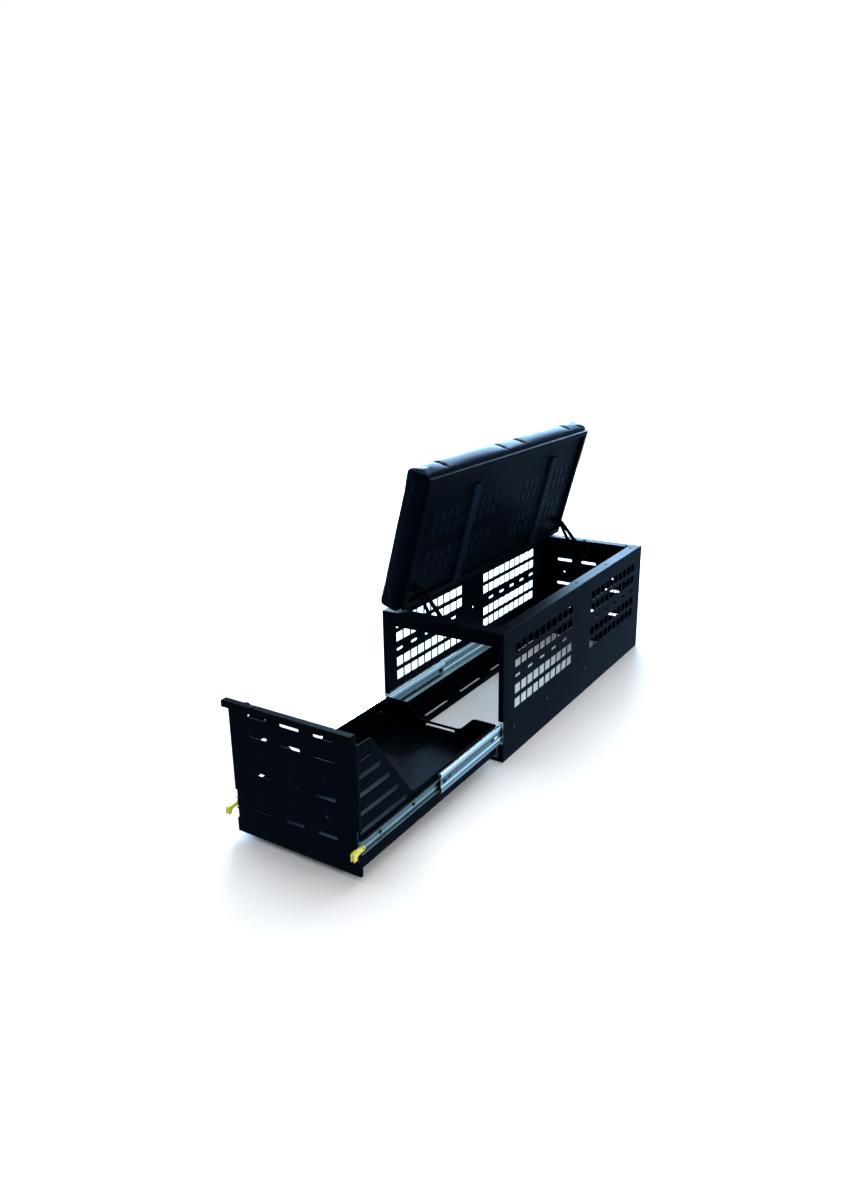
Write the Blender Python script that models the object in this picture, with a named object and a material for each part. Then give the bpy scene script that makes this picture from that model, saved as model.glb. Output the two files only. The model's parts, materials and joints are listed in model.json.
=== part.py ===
"""Cargo slide: an open-fronted steel cabinet with one long drawer on heavy slides,
and a cushioned lid on a four-bar stay at each end.

Metres, +Z up. X runs across the cabinet, Y from its front to its rear. The origin is
under the front sill, on the floor, at the middle of the sill's underside flange. The
part is shown as it stands open: the drawer pulled all the way out, the lid raised.
"""
import math

import bmesh
import bpy
from mathutils import Matrix, Vector

for old in list(bpy.data.objects):
    bpy.data.objects.remove(old, do_unlink=True)

# ---------------------------------------------------------------- driving sizes
CABINET_WIDTH = 0.480
CABINET_HEIGHT = 0.460
CABINET_LENGTH = 1.260
SLIDE_LENGTH = 0.762          # the drawer's travel is the slide's own length
SLIDE_HEIGHT = 0.076
SLIDE_THICK = 0.0191
LID_ANGLE = math.radians(75.0)  # how far the lid stands open
CUSHION_HEIGHT = 0.080

# ---------------------------------------------------------------- shared values
SHEET = 0.002                 # folded steel sheet
BEND = 0.0005                 # inner radius of a fold
SEAT = 0.0003                 # gap between pieces that touch
PLAY = 0.0003                 # pin to hole, on the radius
OVERRUN = 0.005               # how far a cut runs past its piece
FOLD_STEPS = 2
SIDES = 12                    # sides of pins and their eyes
SMALL_SIDES = 10              # sides of bolts, screws and small holes
END_STEPS = 3                 # steps round a slot's end

# ---------------------------------------------------------------- cabinet
TOP_FLANGE = 0.046            # side panels' top flanges
END_FLANGE = 0.046            # front and rear flanges, top and bottom
BASE_FLANGE = 0.098           # side panels' bottom flanges
BASE_SLOT_LENGTH = 0.160
BASE_SLOT_WIDTH = 0.011
BASE_SLOT_PITCH = 0.254
BASE_SLOT_INSET = 0.060       # slot's centre line from the outer face
FLANGE_HOLE = 0.010
FLANGE_HOLE_INSET = 0.0264
FLANGE_HOLE_START = 0.060
FLANGE_HOLE_COUNT = 5
HOLE_LENGTH = 0.040           # side panels' openings
HOLE_HEIGHT = 0.034
HOLE_PITCH = 0.047
BLOCK_START = 0.079           # first opening's near edge
BLANK_BAND = 0.060            # half of the plain band at mid length, at least
ROW_SHARES = (0.1348, 0.2962, 0.6000, 0.7614)   # of the height above the slide
MID_ROW_SHARE = 0.4480
LINE_SLOT_HEIGHT = 0.010
HEADER_HEIGHT = 0.050
SILL_HEIGHT = 0.014
JAMB_BREAK = 0.004            # jamb's ends above and below the slide
JAMB_GAP = 0.0013             # jamb's inner edge to the drawer's wall
REAR_SLOT_LENGTH = 0.070
REAR_SLOT_HEIGHT = 0.011
REAR_SLOT_SPACING = 0.116
REAR_ROW_SHARES = (0.2739, 0.5130, 0.7543)
REAR_DOT = 0.008
REAR_DOT_SHARES = (0.3935, 0.6326)
BUFFER_DIAMETER = 0.014
BUFFER_HEIGHT = 0.003
BUFFER_INSET = 0.034          # centre from the cabinet's rear face
BUFFER_SHARES = (-0.025, 0.380)   # of the cabinet's width, from its middle

# ---------------------------------------------------------------- slides
SLIDE_Z = 0.106
SLIDE_SHEET = 0.002
OUTER_DEPTH = 0.014
MIDDLE_GAP = 0.0025           # outer web to middle web
MIDDLE_DEPTH = 0.0116
MIDDLE_LIP_ABOVE = 0.0165     # lips along the middle member's open side
MIDDLE_LIP_BELOW = 0.0105
MIDDLE_BAND_ABOVE = 0.010     # full-depth bands above and below its recessed web
MIDDLE_BAND_BELOW = 0.015
MIDDLE_RECESS = 0.002
MIDDLE_SLOPE = 0.010          # slope up from the lower band to the web
INNER_DEPTH = 0.0102
BALL_GAP = 0.0035             # outer to middle member, above and below
RUN_GAP = 0.0005              # middle to inner member, above and below
BOLT_SHARES = (0.097, 0.434, 0.879)     # along the outer member
BOLT_SHANK = 0.006
BOLT_HEAD = 0.013
BOLT_HEAD_HEIGHT = 0.003
SCREW_SHARES = (0.1207, 0.3386, 0.9327)   # along the inner member
SCREW_SHANK = 0.005
SCREW_HEAD = 0.012
SCREW_HEAD_HEIGHT = 0.0028
CATCH_START = 0.016           # middle member's end to the catch's tip
CATCH_LENGTH = 0.020
CATCH_HEIGHT = 0.014
CATCH_THICK = 0.0018

# ---------------------------------------------------------------- drawer, as closed
FRONT_STANDOFF = 0.013        # front panel's outer face ahead of the cabinet
FRONT_INSET = 0.0165          # front panel's edge in from the cabinet's side
FRONT_BOTTOM = 0.014
FRONT_TOP = 0.430
FRONT_FLANGE = 0.0097
NOTCH_BELOW = 0.050           # notch round the slide, below and above its centre
NOTCH_ABOVE = 0.044
NOTCH_DEPTH = 0.0095
FRONT_SLOT_LENGTH = 0.068
FRONT_SLOT_HEIGHT = 0.009
FRONT_SLOT_SPACING = 0.116
FRONT_ROW_SHARES = (0.226, 0.786, 0.930)
FRONT_SPLIT_ROW_SHARE = 0.505  # the row with three small holes in its middle
FRONT_DOT = 0.008
FRONT_DOT_SHARES = (0.3666, 0.649)
SMALL_HOLE = 0.006
SMALL_HOLE_RING = 0.013       # small holes' distance from their middle
RAIL_BOTTOM = 0.408
RAIL_TOP = 0.440
RAIL_DEPTH = 0.0237
RAIL_ROUND = 0.003
RAIL_LIP = 0.020              # rail's front face, top to bottom
GROOVE_WIDTH = 0.013
GROOVE_WALL = 0.003
GROOVE_ROOF = 0.008
STUD_DIAMETER = 0.016
STUD_HEIGHT = 0.005
STUD_X = -0.116
DRAWER_BOTTOM = 0.034
WALL_TOP = 0.143
GUSSET_TOP = 0.400
GUSSET_LENGTH = 0.0700        # top edge, before its corner is rounded
GUSSET_FOOT = 0.259           # where the slope meets the wall's top
GUSSET_ROUND = 0.025
FOOT_ROUND = 0.030
GUSSET_SLOT_HEIGHT = 0.013
GUSSET_SLOT_START = 0.0077    # from the wall's front edge
GUSSET_SLOT_SHARES = (0.004, 0.212, 0.426, 0.638, 0.833)   # of the gusset's height
GUSSET_SLOT_MARGIN = 0.022    # slot's end to the gusset's slope
INNER_START = -0.010          # inner member's front end
INNER_TAIL = 0.004            # inner member past the drawer's rear face
REAR_DIP = 0.052
REAR_DIP_HALF = 0.080
REAR_SHOULDER_HALF = 0.133
REAR_CUT_LENGTH = 0.122
REAR_CUT_HEIGHT = 0.008
REAR_CUT_RISE = 0.0435        # cut's centre above the drawer's bottom
LEVER_REACH = 0.036           # lever's tip ahead of the front panel
LEVER_PIVOT = -0.004          # from the cabinet's front face
LEVER_DROP = 0.0015           # pivot below the inner member's centre
LEVER_WIDTH = 0.0078
LEVER_FLARE = 0.002           # head wider than the arm, each side
LEVER_WALL = 0.0025
LEVER_EYE = 0.0075
LEVER_ARM = 0.012
LEVER_LEG = 0.014             # head's legs along Y
LEVER_HEAD = 0.024            # head along Y
LEVER_LEG_DROP = 0.018        # legs' ends below the pivot
LEVER_ROUND = 0.005
PIN_DIAMETER = 0.006

# ---------------------------------------------------------------- lid, as closed
LID_RIM = 0.014
LID_RETURN = 0.021
LID_CORNER = 0.002
LID_GAP_LENGTH = 0.084        # break in the free edge's return
LID_HOLE_LENGTH = 0.036
LID_HOLE_WIDTH = 0.039
LID_HOLE_PITCH = 0.047
LID_BLOCK_START = 0.102
LID_BLANK_BAND = 0.040
LID_PATTERN_X = 0.213
LID_ROWS = (-0.099, -0.0475, 0.0475, 0.099)
STRAP_WIDTH = 0.042
STRAP_START = 0.022
STRAP_STOP = 0.079            # strap's far end in from the pan's free edge
STRAP_SHARES = (0.2780, 0.7800)   # of the lid's length
CUSHION_CROWN = 0.006
CUSHION_BULGE = 0.014
CUSHION_TUCK = 0.006          # base drawn in from the pan's edge
CUSHION_SHOULDER = 0.022      # top's edge drawn in from the bulge
CUSHION_END = 0.024           # rounding at the two ends
FULL_SHARE = 0.55             # how square the rounded edges are; 1 is an ellipse
SEAM_DIP = 0.007
SEAM_SHARES = (0.108, 0.4405, 0.5595, 0.892)
SEAM_REACH = 0.016            # seam's hollow, each way

# ---------------------------------------------------------------- lid stays
LID_SHIFT = 0.0875            # rear corner's way from closed to open
LID_RAISE = 0.0128
CRANK_PIN_X = 0.0656          # from the lid's rear bottom corner
CRANK_PIN_DROP = 0.0111
ROCKER_PIN_X = 0.0716
ROCKER_PIN_DROP = 0.0254
CRANK_OFFSET = 0.0855         # pivot's distance from the mid point of its pin's way
ROCKER_OFFSET = 0.1673
STAY_INSET = 0.0485           # stay bracket's near face from the cabinet's end
STAY_PLATE = 0.003
STAY_GAP = 0.0005             # between neighbouring plates
LINK_PLATE = 0.004
LINK_EYE = 0.007
ROCKER_EYE = 0.008
BRACKET_EYE = 0.0065
OPEN_PLAY = 0.0012            # rocker's eye round its pin, on the radius
PIN_HEAD = 0.010
PIN_HEAD_HEIGHT = 0.002
FOOT_FRONT = 0.029            # lid bracket's foot along Y
FOOT_LENGTH = 0.051
FOOT_X = 0.038
FOOT_WIDTH = 0.048
STAY_FOOT_START = 0.008
STAY_MARGIN = 0.012           # stay plate beyond its two pivots

# ---------------------------------------------------------------- worked-out places
ORIGIN = Vector((0, -END_FLANGE / 2, 0))
HALF = CABINET_WIDTH / 2
WEB_IN = HALF - SHEET                     # side panel's inner face
OUTER_X = WEB_IN - SEAT                   # outer member's back
INNER_X = OUTER_X - SLIDE_THICK           # inner member's back
WALL_X = INNER_X - SEAT                   # drawer wall's outer face
MIDDLE_X = OUTER_X - SLIDE_SHEET - MIDDLE_GAP   # middle member's back
MIDDLE_HEIGHT = SLIDE_HEIGHT - 2 * SLIDE_SHEET - 2 * BALL_GAP
INNER_HEIGHT = MIDDLE_HEIGHT - MIDDLE_LIP_ABOVE - MIDDLE_LIP_BELOW - 2 * RUN_GAP
INNER_Z = SLIDE_Z + (MIDDLE_LIP_BELOW - MIDDLE_LIP_ABOVE) / 2
SLIDE_TOP = SLIDE_Z + SLIDE_HEIGHT / 2
SLIDE_BOTTOM = SLIDE_Z - SLIDE_HEIGHT / 2
JAMB_X = WALL_X + JAMB_GAP
FRONT_Y = -FRONT_STANDOFF
FRONT_BACK = FRONT_Y + SHEET
FRONT_HALF = HALF - FRONT_INSET
WALL_FRONT = FRONT_BACK + SEAT
INNER_END = INNER_START + SLIDE_LENGTH
DRAWER_REAR = INNER_END - INNER_TAIL      # drawer's rear face
WALL_IN = WALL_X - SHEET
LID_X = -HALF
LID_Z = CABINET_HEIGHT + SEAT
PLATE_UNDER = LID_Z + LID_RIM - SHEET
PIN_RADIUS = PIN_DIAMETER / 2
EYE_HOLE = PIN_RADIUS + PLAY


# ---------------------------------------------------------------- shapes
def spin2(p, angle):
    c, s = math.cos(angle), math.sin(angle)
    return (p[0] * c - p[1] * s, p[0] * s + p[1] * c)


def folded(points, thick=SHEET, bend=BEND, steps=FOLD_STEPS):
    """Outline of a sheet of even thickness whose centre line runs through the points."""
    left, right = [], []

    def add(p, n):
        left.append((p[0] + n[0] * thick / 2, p[1] + n[1] * thick / 2))
        right.append((p[0] - n[0] * thick / 2, p[1] - n[1] * thick / 2))

    def unit(a, b):
        d = math.hypot(b[0] - a[0], b[1] - a[1])
        return ((b[0] - a[0]) / d, (b[1] - a[1]) / d)

    for i, p in enumerate(points):
        if i == 0 or i == len(points) - 1:
            d = unit(points[0], points[1]) if i == 0 else unit(points[-2], p)
            add(p, (-d[1], d[0]))
            continue
        d1, d2 = unit(points[i - 1], p), unit(p, points[i + 1])
        turn = math.atan2(d1[0] * d2[1] - d1[1] * d2[0], d1[0] * d2[0] + d1[1] * d2[1])
        side = math.copysign(1, turn)
        radius = bend + thick / 2
        back = radius * math.tan(abs(turn) / 2)
        start = (p[0] - d1[0] * back, p[1] - d1[1] * back)
        normal = (-d1[1], d1[0])
        middle = (start[0] + normal[0] * radius * side, start[1] + normal[1] * radius * side)
        for k in range(steps + 1):
            n = spin2(normal, turn * k / steps)
            add((middle[0] - n[0] * radius * side, middle[1] - n[1] * radius * side), n)
    return left + right[::-1]


def rounded(points, radii, steps=3):
    """A polygon with some of its corners rounded."""
    out = []
    count = len(points)
    for i, (p, r) in enumerate(zip(points, radii)):
        if r == 0:
            out.append(p)
            continue
        a, b = points[i - 1], points[(i + 1) % count]
        da, db = math.hypot(p[0] - a[0], p[1] - a[1]), math.hypot(b[0] - p[0], b[1] - p[1])
        d1 = ((p[0] - a[0]) / da, (p[1] - a[1]) / da)
        d2 = ((b[0] - p[0]) / db, (b[1] - p[1]) / db)
        turn = math.atan2(d1[0] * d2[1] - d1[1] * d2[0], d1[0] * d2[0] + d1[1] * d2[1])
        side = math.copysign(1, turn)
        back = min(r * math.tan(abs(turn) / 2), da / 2, db / 2)
        r = back / math.tan(abs(turn) / 2)
        start = (p[0] - d1[0] * back, p[1] - d1[1] * back)
        normal = (-d1[1] * side, d1[0] * side)
        middle = (start[0] + normal[0] * r, start[1] + normal[1] * r)
        for k in range(steps + 1):
            n = spin2(normal, turn * k / steps)
            out.append((middle[0] - n[0] * r, middle[1] - n[1] * r))
    return out


def ring(a, b, radius, sides=SIDES):
    """A regular outline round (a, b)."""
    return [(a + radius * math.cos(2 * math.pi * k / sides),
             b + radius * math.sin(2 * math.pi * k / sides)) for k in range(sides)]


def slot(a, b, length, height, steps=END_STEPS):
    """A round-ended outline, long along its first coordinate."""
    r = height / 2
    out = []
    for side, start in ((1, -math.pi / 2), (-1, math.pi / 2)):
        for k in range(steps + 1):
            t = start + math.pi * k / steps
            out.append((a + side * (length / 2 - r) + r * math.cos(t), b + r * math.sin(t)))
    return out


def oblong(a, b, length, height):
    return [(a - length / 2, b - height / 2), (a + length / 2, b - height / 2),
            (a + length / 2, b + height / 2), (a - length / 2, b + height / 2)]


def link(a, b, radius, steps=6):
    """A bar's outline from a to b with round ends."""
    turn = math.atan2(b[1] - a[1], b[0] - a[0])
    out = []
    for centre, start in ((b, turn - math.pi / 2), (a, turn + math.pi / 2)):
        for k in range(steps + 1):
            t = start + math.pi * k / steps
            out.append((centre[0] + radius * math.cos(t), centre[1] + radius * math.sin(t)))
    return out


def hull(points):
    """Convex outline round the points."""
    pts = sorted(set(points))

    def half(seq):
        out = []
        for p in seq:
            while len(out) > 1 and ((out[-1][0] - out[-2][0]) * (p[1] - out[-2][1])
                                    - (out[-1][1] - out[-2][1]) * (p[0] - out[-2][0])) <= 0:
                out.pop()
            out.append(p)
        return out[:-1]

    return half(pts) + half(pts[::-1])


def prism(outline, axis, low, high):
    """The outline (two of x, y, z in that order) drawn out along the third axis."""
    def at(p, h):
        return {"x": (h, p[0], p[1]), "y": (p[0], h, p[1]), "z": (p[0], p[1], h)}[axis]
    n = len(outline)
    verts = [at(p, low) for p in outline] + [at(p, high) for p in outline]
    faces = [tuple(range(n)), tuple(range(n, 2 * n))]
    faces += [(k, (k + 1) % n, n + (k + 1) % n, n + k) for k in range(n)]
    return verts, faces


def block(x0, x1, y0, y1, z0, z1):
    return prism([(x0, y0), (x1, y0), (x1, y1), (x0, y1)], "z", z0, z1)


def turned(profile, axis, centre, sides=SIDES):
    """A body of revolution; the profile is (radius, place along the axis)."""
    verts, faces = [], []
    for r, h in profile:
        for p in ring(0, 0, r, sides):
            v = {"x": (h, p[0], p[1]), "y": (p[0], h, p[1]), "z": (p[0], p[1], h)}[axis]
            verts.append(tuple(v[i] + centre[i] for i in range(3)))
    for j in range(len(profile) - 1):
        for k in range(sides):
            a, b = j * sides + k, j * sides + (k + 1) % sides
            faces.append((a, b, b + sides, a + sides))
    faces.append(tuple(range(sides)))
    faces.append(tuple(range((len(profile) - 1) * sides, len(profile) * sides)))
    return verts, faces


def flipped(shape, axis, about=0):
    """The shape mirrored in the plane where the axis reads about."""
    i = "xyz".index(axis)
    verts = [tuple(2 * about - c if k == i else c for k, c in enumerate(v)) for v in shape[0]]
    return verts, shape[1]


def joined(shapes):
    verts, faces = [], []
    for v, f in shapes:
        base = len(verts)
        verts += v
        faces += [tuple(i + base for i in face) for face in f]
    return verts, faces


# ---------------------------------------------------------------- objects
FINISHES = {
    "black": ((0.020, 0.027, 0.036, 1), 0.42, 0.35),
    "zinc": ((0.45, 0.49, 0.52, 1), 0.33, 0.90),
    "yellow": ((0.80, 0.72, 0.06, 1), 0.45, 0.0),
    "vinyl": ((0.020, 0.030, 0.055, 1), 0.38, 0.0),
    "rail": ((0.045, 0.050, 0.056, 1), 0.50, 0.2),
    "rubber": ((0.015, 0.015, 0.016, 1), 0.75, 0.0),
    "bolt": ((0.10, 0.11, 0.12, 1), 0.40, 0.85),
}


def solid(name, shape):
    verts, faces = shape
    mesh = bpy.data.meshes.new(name)
    bm = bmesh.new()
    made = [bm.verts.new(v) for v in verts]
    for f in faces:
        bm.faces.new([made[i] for i in f])
    bmesh.ops.recalc_face_normals(bm, faces=bm.faces)
    bm.to_mesh(mesh)
    bm.free()
    obj = bpy.data.objects.new(name, mesh)
    bpy.context.scene.collection.objects.link(obj)
    return obj


def shaped(obj, tool, operation):
    other = solid("tool", tool)
    mod = obj.modifiers.new(operation.lower(), "BOOLEAN")
    mod.operation = operation
    mod.solver = "EXACT"
    mod.object = other
    graph = bpy.context.evaluated_depsgraph_get()
    mesh = bpy.data.meshes.new_from_object(obj.evaluated_get(graph))
    obj.modifiers.clear()
    obj.data = mesh
    bpy.data.objects.remove(other, do_unlink=True)
    return obj


def cut(obj, *tools):
    return shaped(obj, joined(tools), "DIFFERENCE")


def fuse(obj, tool):
    return shaped(obj, tool, "UNION")


def finish(obj, look, smooth=False):
    colour, rough, metal = FINISHES[look]
    mat = bpy.data.materials.new(obj.name + "_finish")
    mat.use_nodes = True
    shader = next(n for n in mat.node_tree.nodes if n.type == "BSDF_PRINCIPLED")
    shader.inputs["Base Color"].default_value = colour
    shader.inputs["Roughness"].default_value = rough
    shader.inputs["Metallic"].default_value = metal
    mat.diffuse_color = colour
    obj.data.materials.clear()
    obj.data.materials.append(mat)
    if smooth:
        obj.data.shade_smooth()
        obj.data.set_sharp_from_angle(angle=math.radians(35))


def placed(obj, look, pivot=(0, 0, 0), carrier=None, smooth=False):
    """Puts the object's origin at its pivot; a carrier is the joint's own empty."""
    pivot = Vector(pivot)
    obj.data.transform(Matrix.Translation(-pivot))
    if carrier is None:
        obj.location = pivot + ORIGIN
    else:
        obj.parent = carrier["empty"]
        obj.location = pivot - carrier["zero"]
    finish(obj, look, smooth)
    return obj


def joint_empty(name, at, zero, turn=0):
    """An empty at a joint; zero is the same point where its pieces are drawn."""
    empty = bpy.data.objects.new(name, None)
    empty.empty_display_size = PIN_HEAD
    bpy.context.scene.collection.objects.link(empty)
    empty.location = Vector(at) + ORIGIN
    empty.rotation_euler = (0, turn, 0)
    return {"empty": empty, "zero": Vector(zero)}


SIDES_LR = (("left", -1), ("right", 1))
ENDS = ("front", "rear")


def on_side(shape, sign):
    """Shapes are drawn for the right side."""
    return shape if sign > 0 else flipped(shape, "x")


def on_end(shape, end):
    """Shapes are drawn for the front end."""
    return shape if end == "front" else flipped(shape, "y", CABINET_LENGTH / 2)


# ---------------------------------------------------------------- cabinet pieces
def side_panel(name, sign):
    high = CABINET_HEIGHT - SHEET / 2
    line = [(HALF - BASE_FLANGE, SHEET / 2), (HALF - SHEET / 2, SHEET / 2),
            (HALF - SHEET / 2, high), (HALF - TOP_FLANGE, high)]
    obj = solid(name, on_side(prism(folded(line), "y", 0, CABINET_LENGTH), sign))
    across = (WEB_IN - OVERRUN, HALF + OVERRUN)
    room = CABINET_HEIGHT - SLIDE_TOP
    columns = 1 + int((CABINET_LENGTH / 2 - BLANK_BAND - BLOCK_START - HOLE_LENGTH) / HOLE_PITCH)
    tools = []
    for k in range(columns):
        y = BLOCK_START + HOLE_LENGTH / 2 + k * HOLE_PITCH
        for share in ROW_SHARES:
            z = SLIDE_TOP + room * share
            tools.append(prism(oblong(y, z, HOLE_LENGTH, HOLE_HEIGHT), "x", *across))
        if k % 2 == 0:
            z = SLIDE_TOP + room * MID_ROW_SHARE
            tools.append(prism(slot(y, z, HOLE_LENGTH, LINE_SLOT_HEIGHT), "x", *across))
    tools += [flipped(t, "y", CABINET_LENGTH / 2) for t in tools]
    middle = SLIDE_TOP + room * MID_ROW_SHARE
    tools.append(prism(ring(CABINET_LENGTH / 2, middle, FLANGE_HOLE / 2, SMALL_SIDES), "x", *across))
    for share in BOLT_SHARES:
        tools.append(prism(ring(SLIDE_LENGTH * share, SLIDE_Z, BOLT_SHANK / 2 + PLAY, SMALL_SIDES), "x", *across))
    pitch = (CABINET_LENGTH - 2 * FLANGE_HOLE_START) / (FLANGE_HOLE_COUNT - 1)
    for k in range(FLANGE_HOLE_COUNT):
        at = (HALF - FLANGE_HOLE_INSET, FLANGE_HOLE_START + k * pitch)
        tools.append(prism(ring(*at, FLANGE_HOLE / 2, SMALL_SIDES), "z",
                           CABINET_HEIGHT - OVERRUN, CABINET_HEIGHT + OVERRUN))
    for k in (-1.5, -0.5, 0.5, 1.5):
        y = CABINET_LENGTH / 2 + k * BASE_SLOT_PITCH
        hole = [(b, a) for a, b in slot(y, HALF - BASE_SLOT_INSET, BASE_SLOT_LENGTH, BASE_SLOT_WIDTH)]
        tools.append(prism(hole, "z", -OVERRUN, SHEET + OVERRUN))
    cut(obj, *[on_side(t, sign) for t in tools])
    placed(obj, "black")


def corner_cuts(low, high):
    """Takes the end flanges' corners away where the side panels' own flanges lie."""
    out = []
    for sign in (-1, 1):
        out.append(on_side(block(HALF - TOP_FLANGE - SEAT, HALF, low, high,
                                 CABINET_HEIGHT - SHEET - SEAT, CABINET_HEIGHT + OVERRUN), sign))
        out.append(on_side(block(HALF - BASE_FLANGE - SEAT, HALF, low, high,
                                 -OVERRUN, SHEET + SEAT), sign))
    return out


def front_header():
    line = [(SHEET / 2, SLIDE_TOP + JAMB_BREAK), (SHEET / 2, CABINET_HEIGHT - SHEET / 2),
            (END_FLANGE, CABINET_HEIGHT - SHEET / 2)]
    wide = WEB_IN - SEAT
    obj = solid("front_header", prism(folded(line), "x", -wide, wide))
    cut(obj, block(-JAMB_X, JAMB_X, -OVERRUN, SHEET + OVERRUN,
                   SLIDE_TOP - OVERRUN, CABINET_HEIGHT - HEADER_HEIGHT))
    cut(obj, *corner_cuts(-OVERRUN, END_FLANGE + OVERRUN))
    placed(obj, "black")


def front_sill():
    line = [(END_FLANGE, SHEET / 2), (SHEET / 2, SHEET / 2), (SHEET / 2, SLIDE_BOTTOM - JAMB_BREAK)]
    wide = WEB_IN - SEAT
    obj = solid("front_sill", prism(folded(line), "x", -wide, wide))
    cut(obj, block(-JAMB_X, JAMB_X, -OVERRUN, SHEET + OVERRUN, SILL_HEIGHT, SLIDE_BOTTOM + OVERRUN))
    cut(obj, *corner_cuts(-OVERRUN, END_FLANGE + OVERRUN))
    placed(obj, "black")


def rear_panel():
    rear, near = CABINET_LENGTH - SHEET / 2, CABINET_LENGTH - END_FLANGE
    high = CABINET_HEIGHT - SHEET / 2
    line = [(near, SHEET / 2), (rear, SHEET / 2), (rear, high), (near, high)]
    wide = WEB_IN - SEAT
    obj = solid("rear_panel", prism(folded(line), "x", -wide, wide))
    cut(obj, *corner_cuts(near - OVERRUN, CABINET_LENGTH + OVERRUN))
    span = (rear - OVERRUN, rear + OVERRUN)
    tools = []
    for k in (-1, 0, 1):
        x = k * REAR_SLOT_SPACING
        for share in REAR_ROW_SHARES:
            tools.append(prism(slot(x, CABINET_HEIGHT * share, REAR_SLOT_LENGTH, REAR_SLOT_HEIGHT),
                               "y", *span))
        for share in REAR_DOT_SHARES:
            tools.append(prism(ring(x, CABINET_HEIGHT * share, REAR_DOT / 2, SMALL_SIDES), "y", *span))
    cut(obj, *tools)
    placed(obj, "black")


def buffers():
    for n, share in enumerate(BUFFER_SHARES):
        low = CABINET_HEIGHT + SEAT
        r = BUFFER_DIAMETER / 2
        shape = turned([(r, low), (r, low + BUFFER_HEIGHT / 2), (r / 2, low + BUFFER_HEIGHT)], "z",
                       (CABINET_WIDTH * share, CABINET_LENGTH - BUFFER_INSET, 0))
        placed(solid("lid_buffer_%d" % (n + 1), shape), "rubber", smooth=True)


# ---------------------------------------------------------------- slides
def inner_section():
    """The slides' cross-sections are drawn for the right side; this is the inner member's."""
    high = (INNER_HEIGHT - SLIDE_SHEET) / 2
    web, edge = INNER_X + SLIDE_SHEET / 2, INNER_X + INNER_DEPTH
    return folded([(edge, INNER_Z - high), (web, INNER_Z - high), (web, INNER_Z + high),
                   (edge, INNER_Z + high)], SLIDE_SHEET)


def outer_section():
    """The outer member's: lips along its open side reach down and up to the middle member."""
    end = MIDDLE_HEIGHT / 2 + SEAT
    high = SLIDE_HEIGHT / 2 - SLIDE_SHEET / 2
    web, edge = OUTER_X - SLIDE_SHEET / 2, OUTER_X - OUTER_DEPTH + SLIDE_SHEET / 2
    return folded([(edge, SLIDE_Z - end), (edge, SLIDE_Z - high), (web, SLIDE_Z - high),
                   (web, SLIDE_Z + high), (edge, SLIDE_Z + high), (edge, SLIDE_Z + end)], SLIDE_SHEET)


def middle_section():
    """The middle member's: lips along its open side, its web set in between two bands."""
    bottom, top = SLIDE_Z - MIDDLE_HEIGHT / 2, SLIDE_Z + MIDDLE_HEIGHT / 2
    low, high = bottom + SLIDE_SHEET / 2, top - SLIDE_SHEET / 2
    web, edge = MIDDLE_X - SLIDE_SHEET / 2, MIDDLE_X - MIDDLE_DEPTH + SLIDE_SHEET / 2
    inset = web - MIDDLE_RECESS
    return folded([(edge, bottom + MIDDLE_LIP_BELOW), (edge, low), (web, low),
                   (web, bottom + MIDDLE_BAND_BELOW), (inset, bottom + MIDDLE_BAND_BELOW + MIDDLE_SLOPE),
                   (inset, top - MIDDLE_BAND_ABOVE - MIDDLE_RECESS), (web, top - MIDDLE_BAND_ABOVE),
                   (web, high), (edge, high), (edge, top - MIDDLE_LIP_ABOVE)], SLIDE_SHEET)


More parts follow.
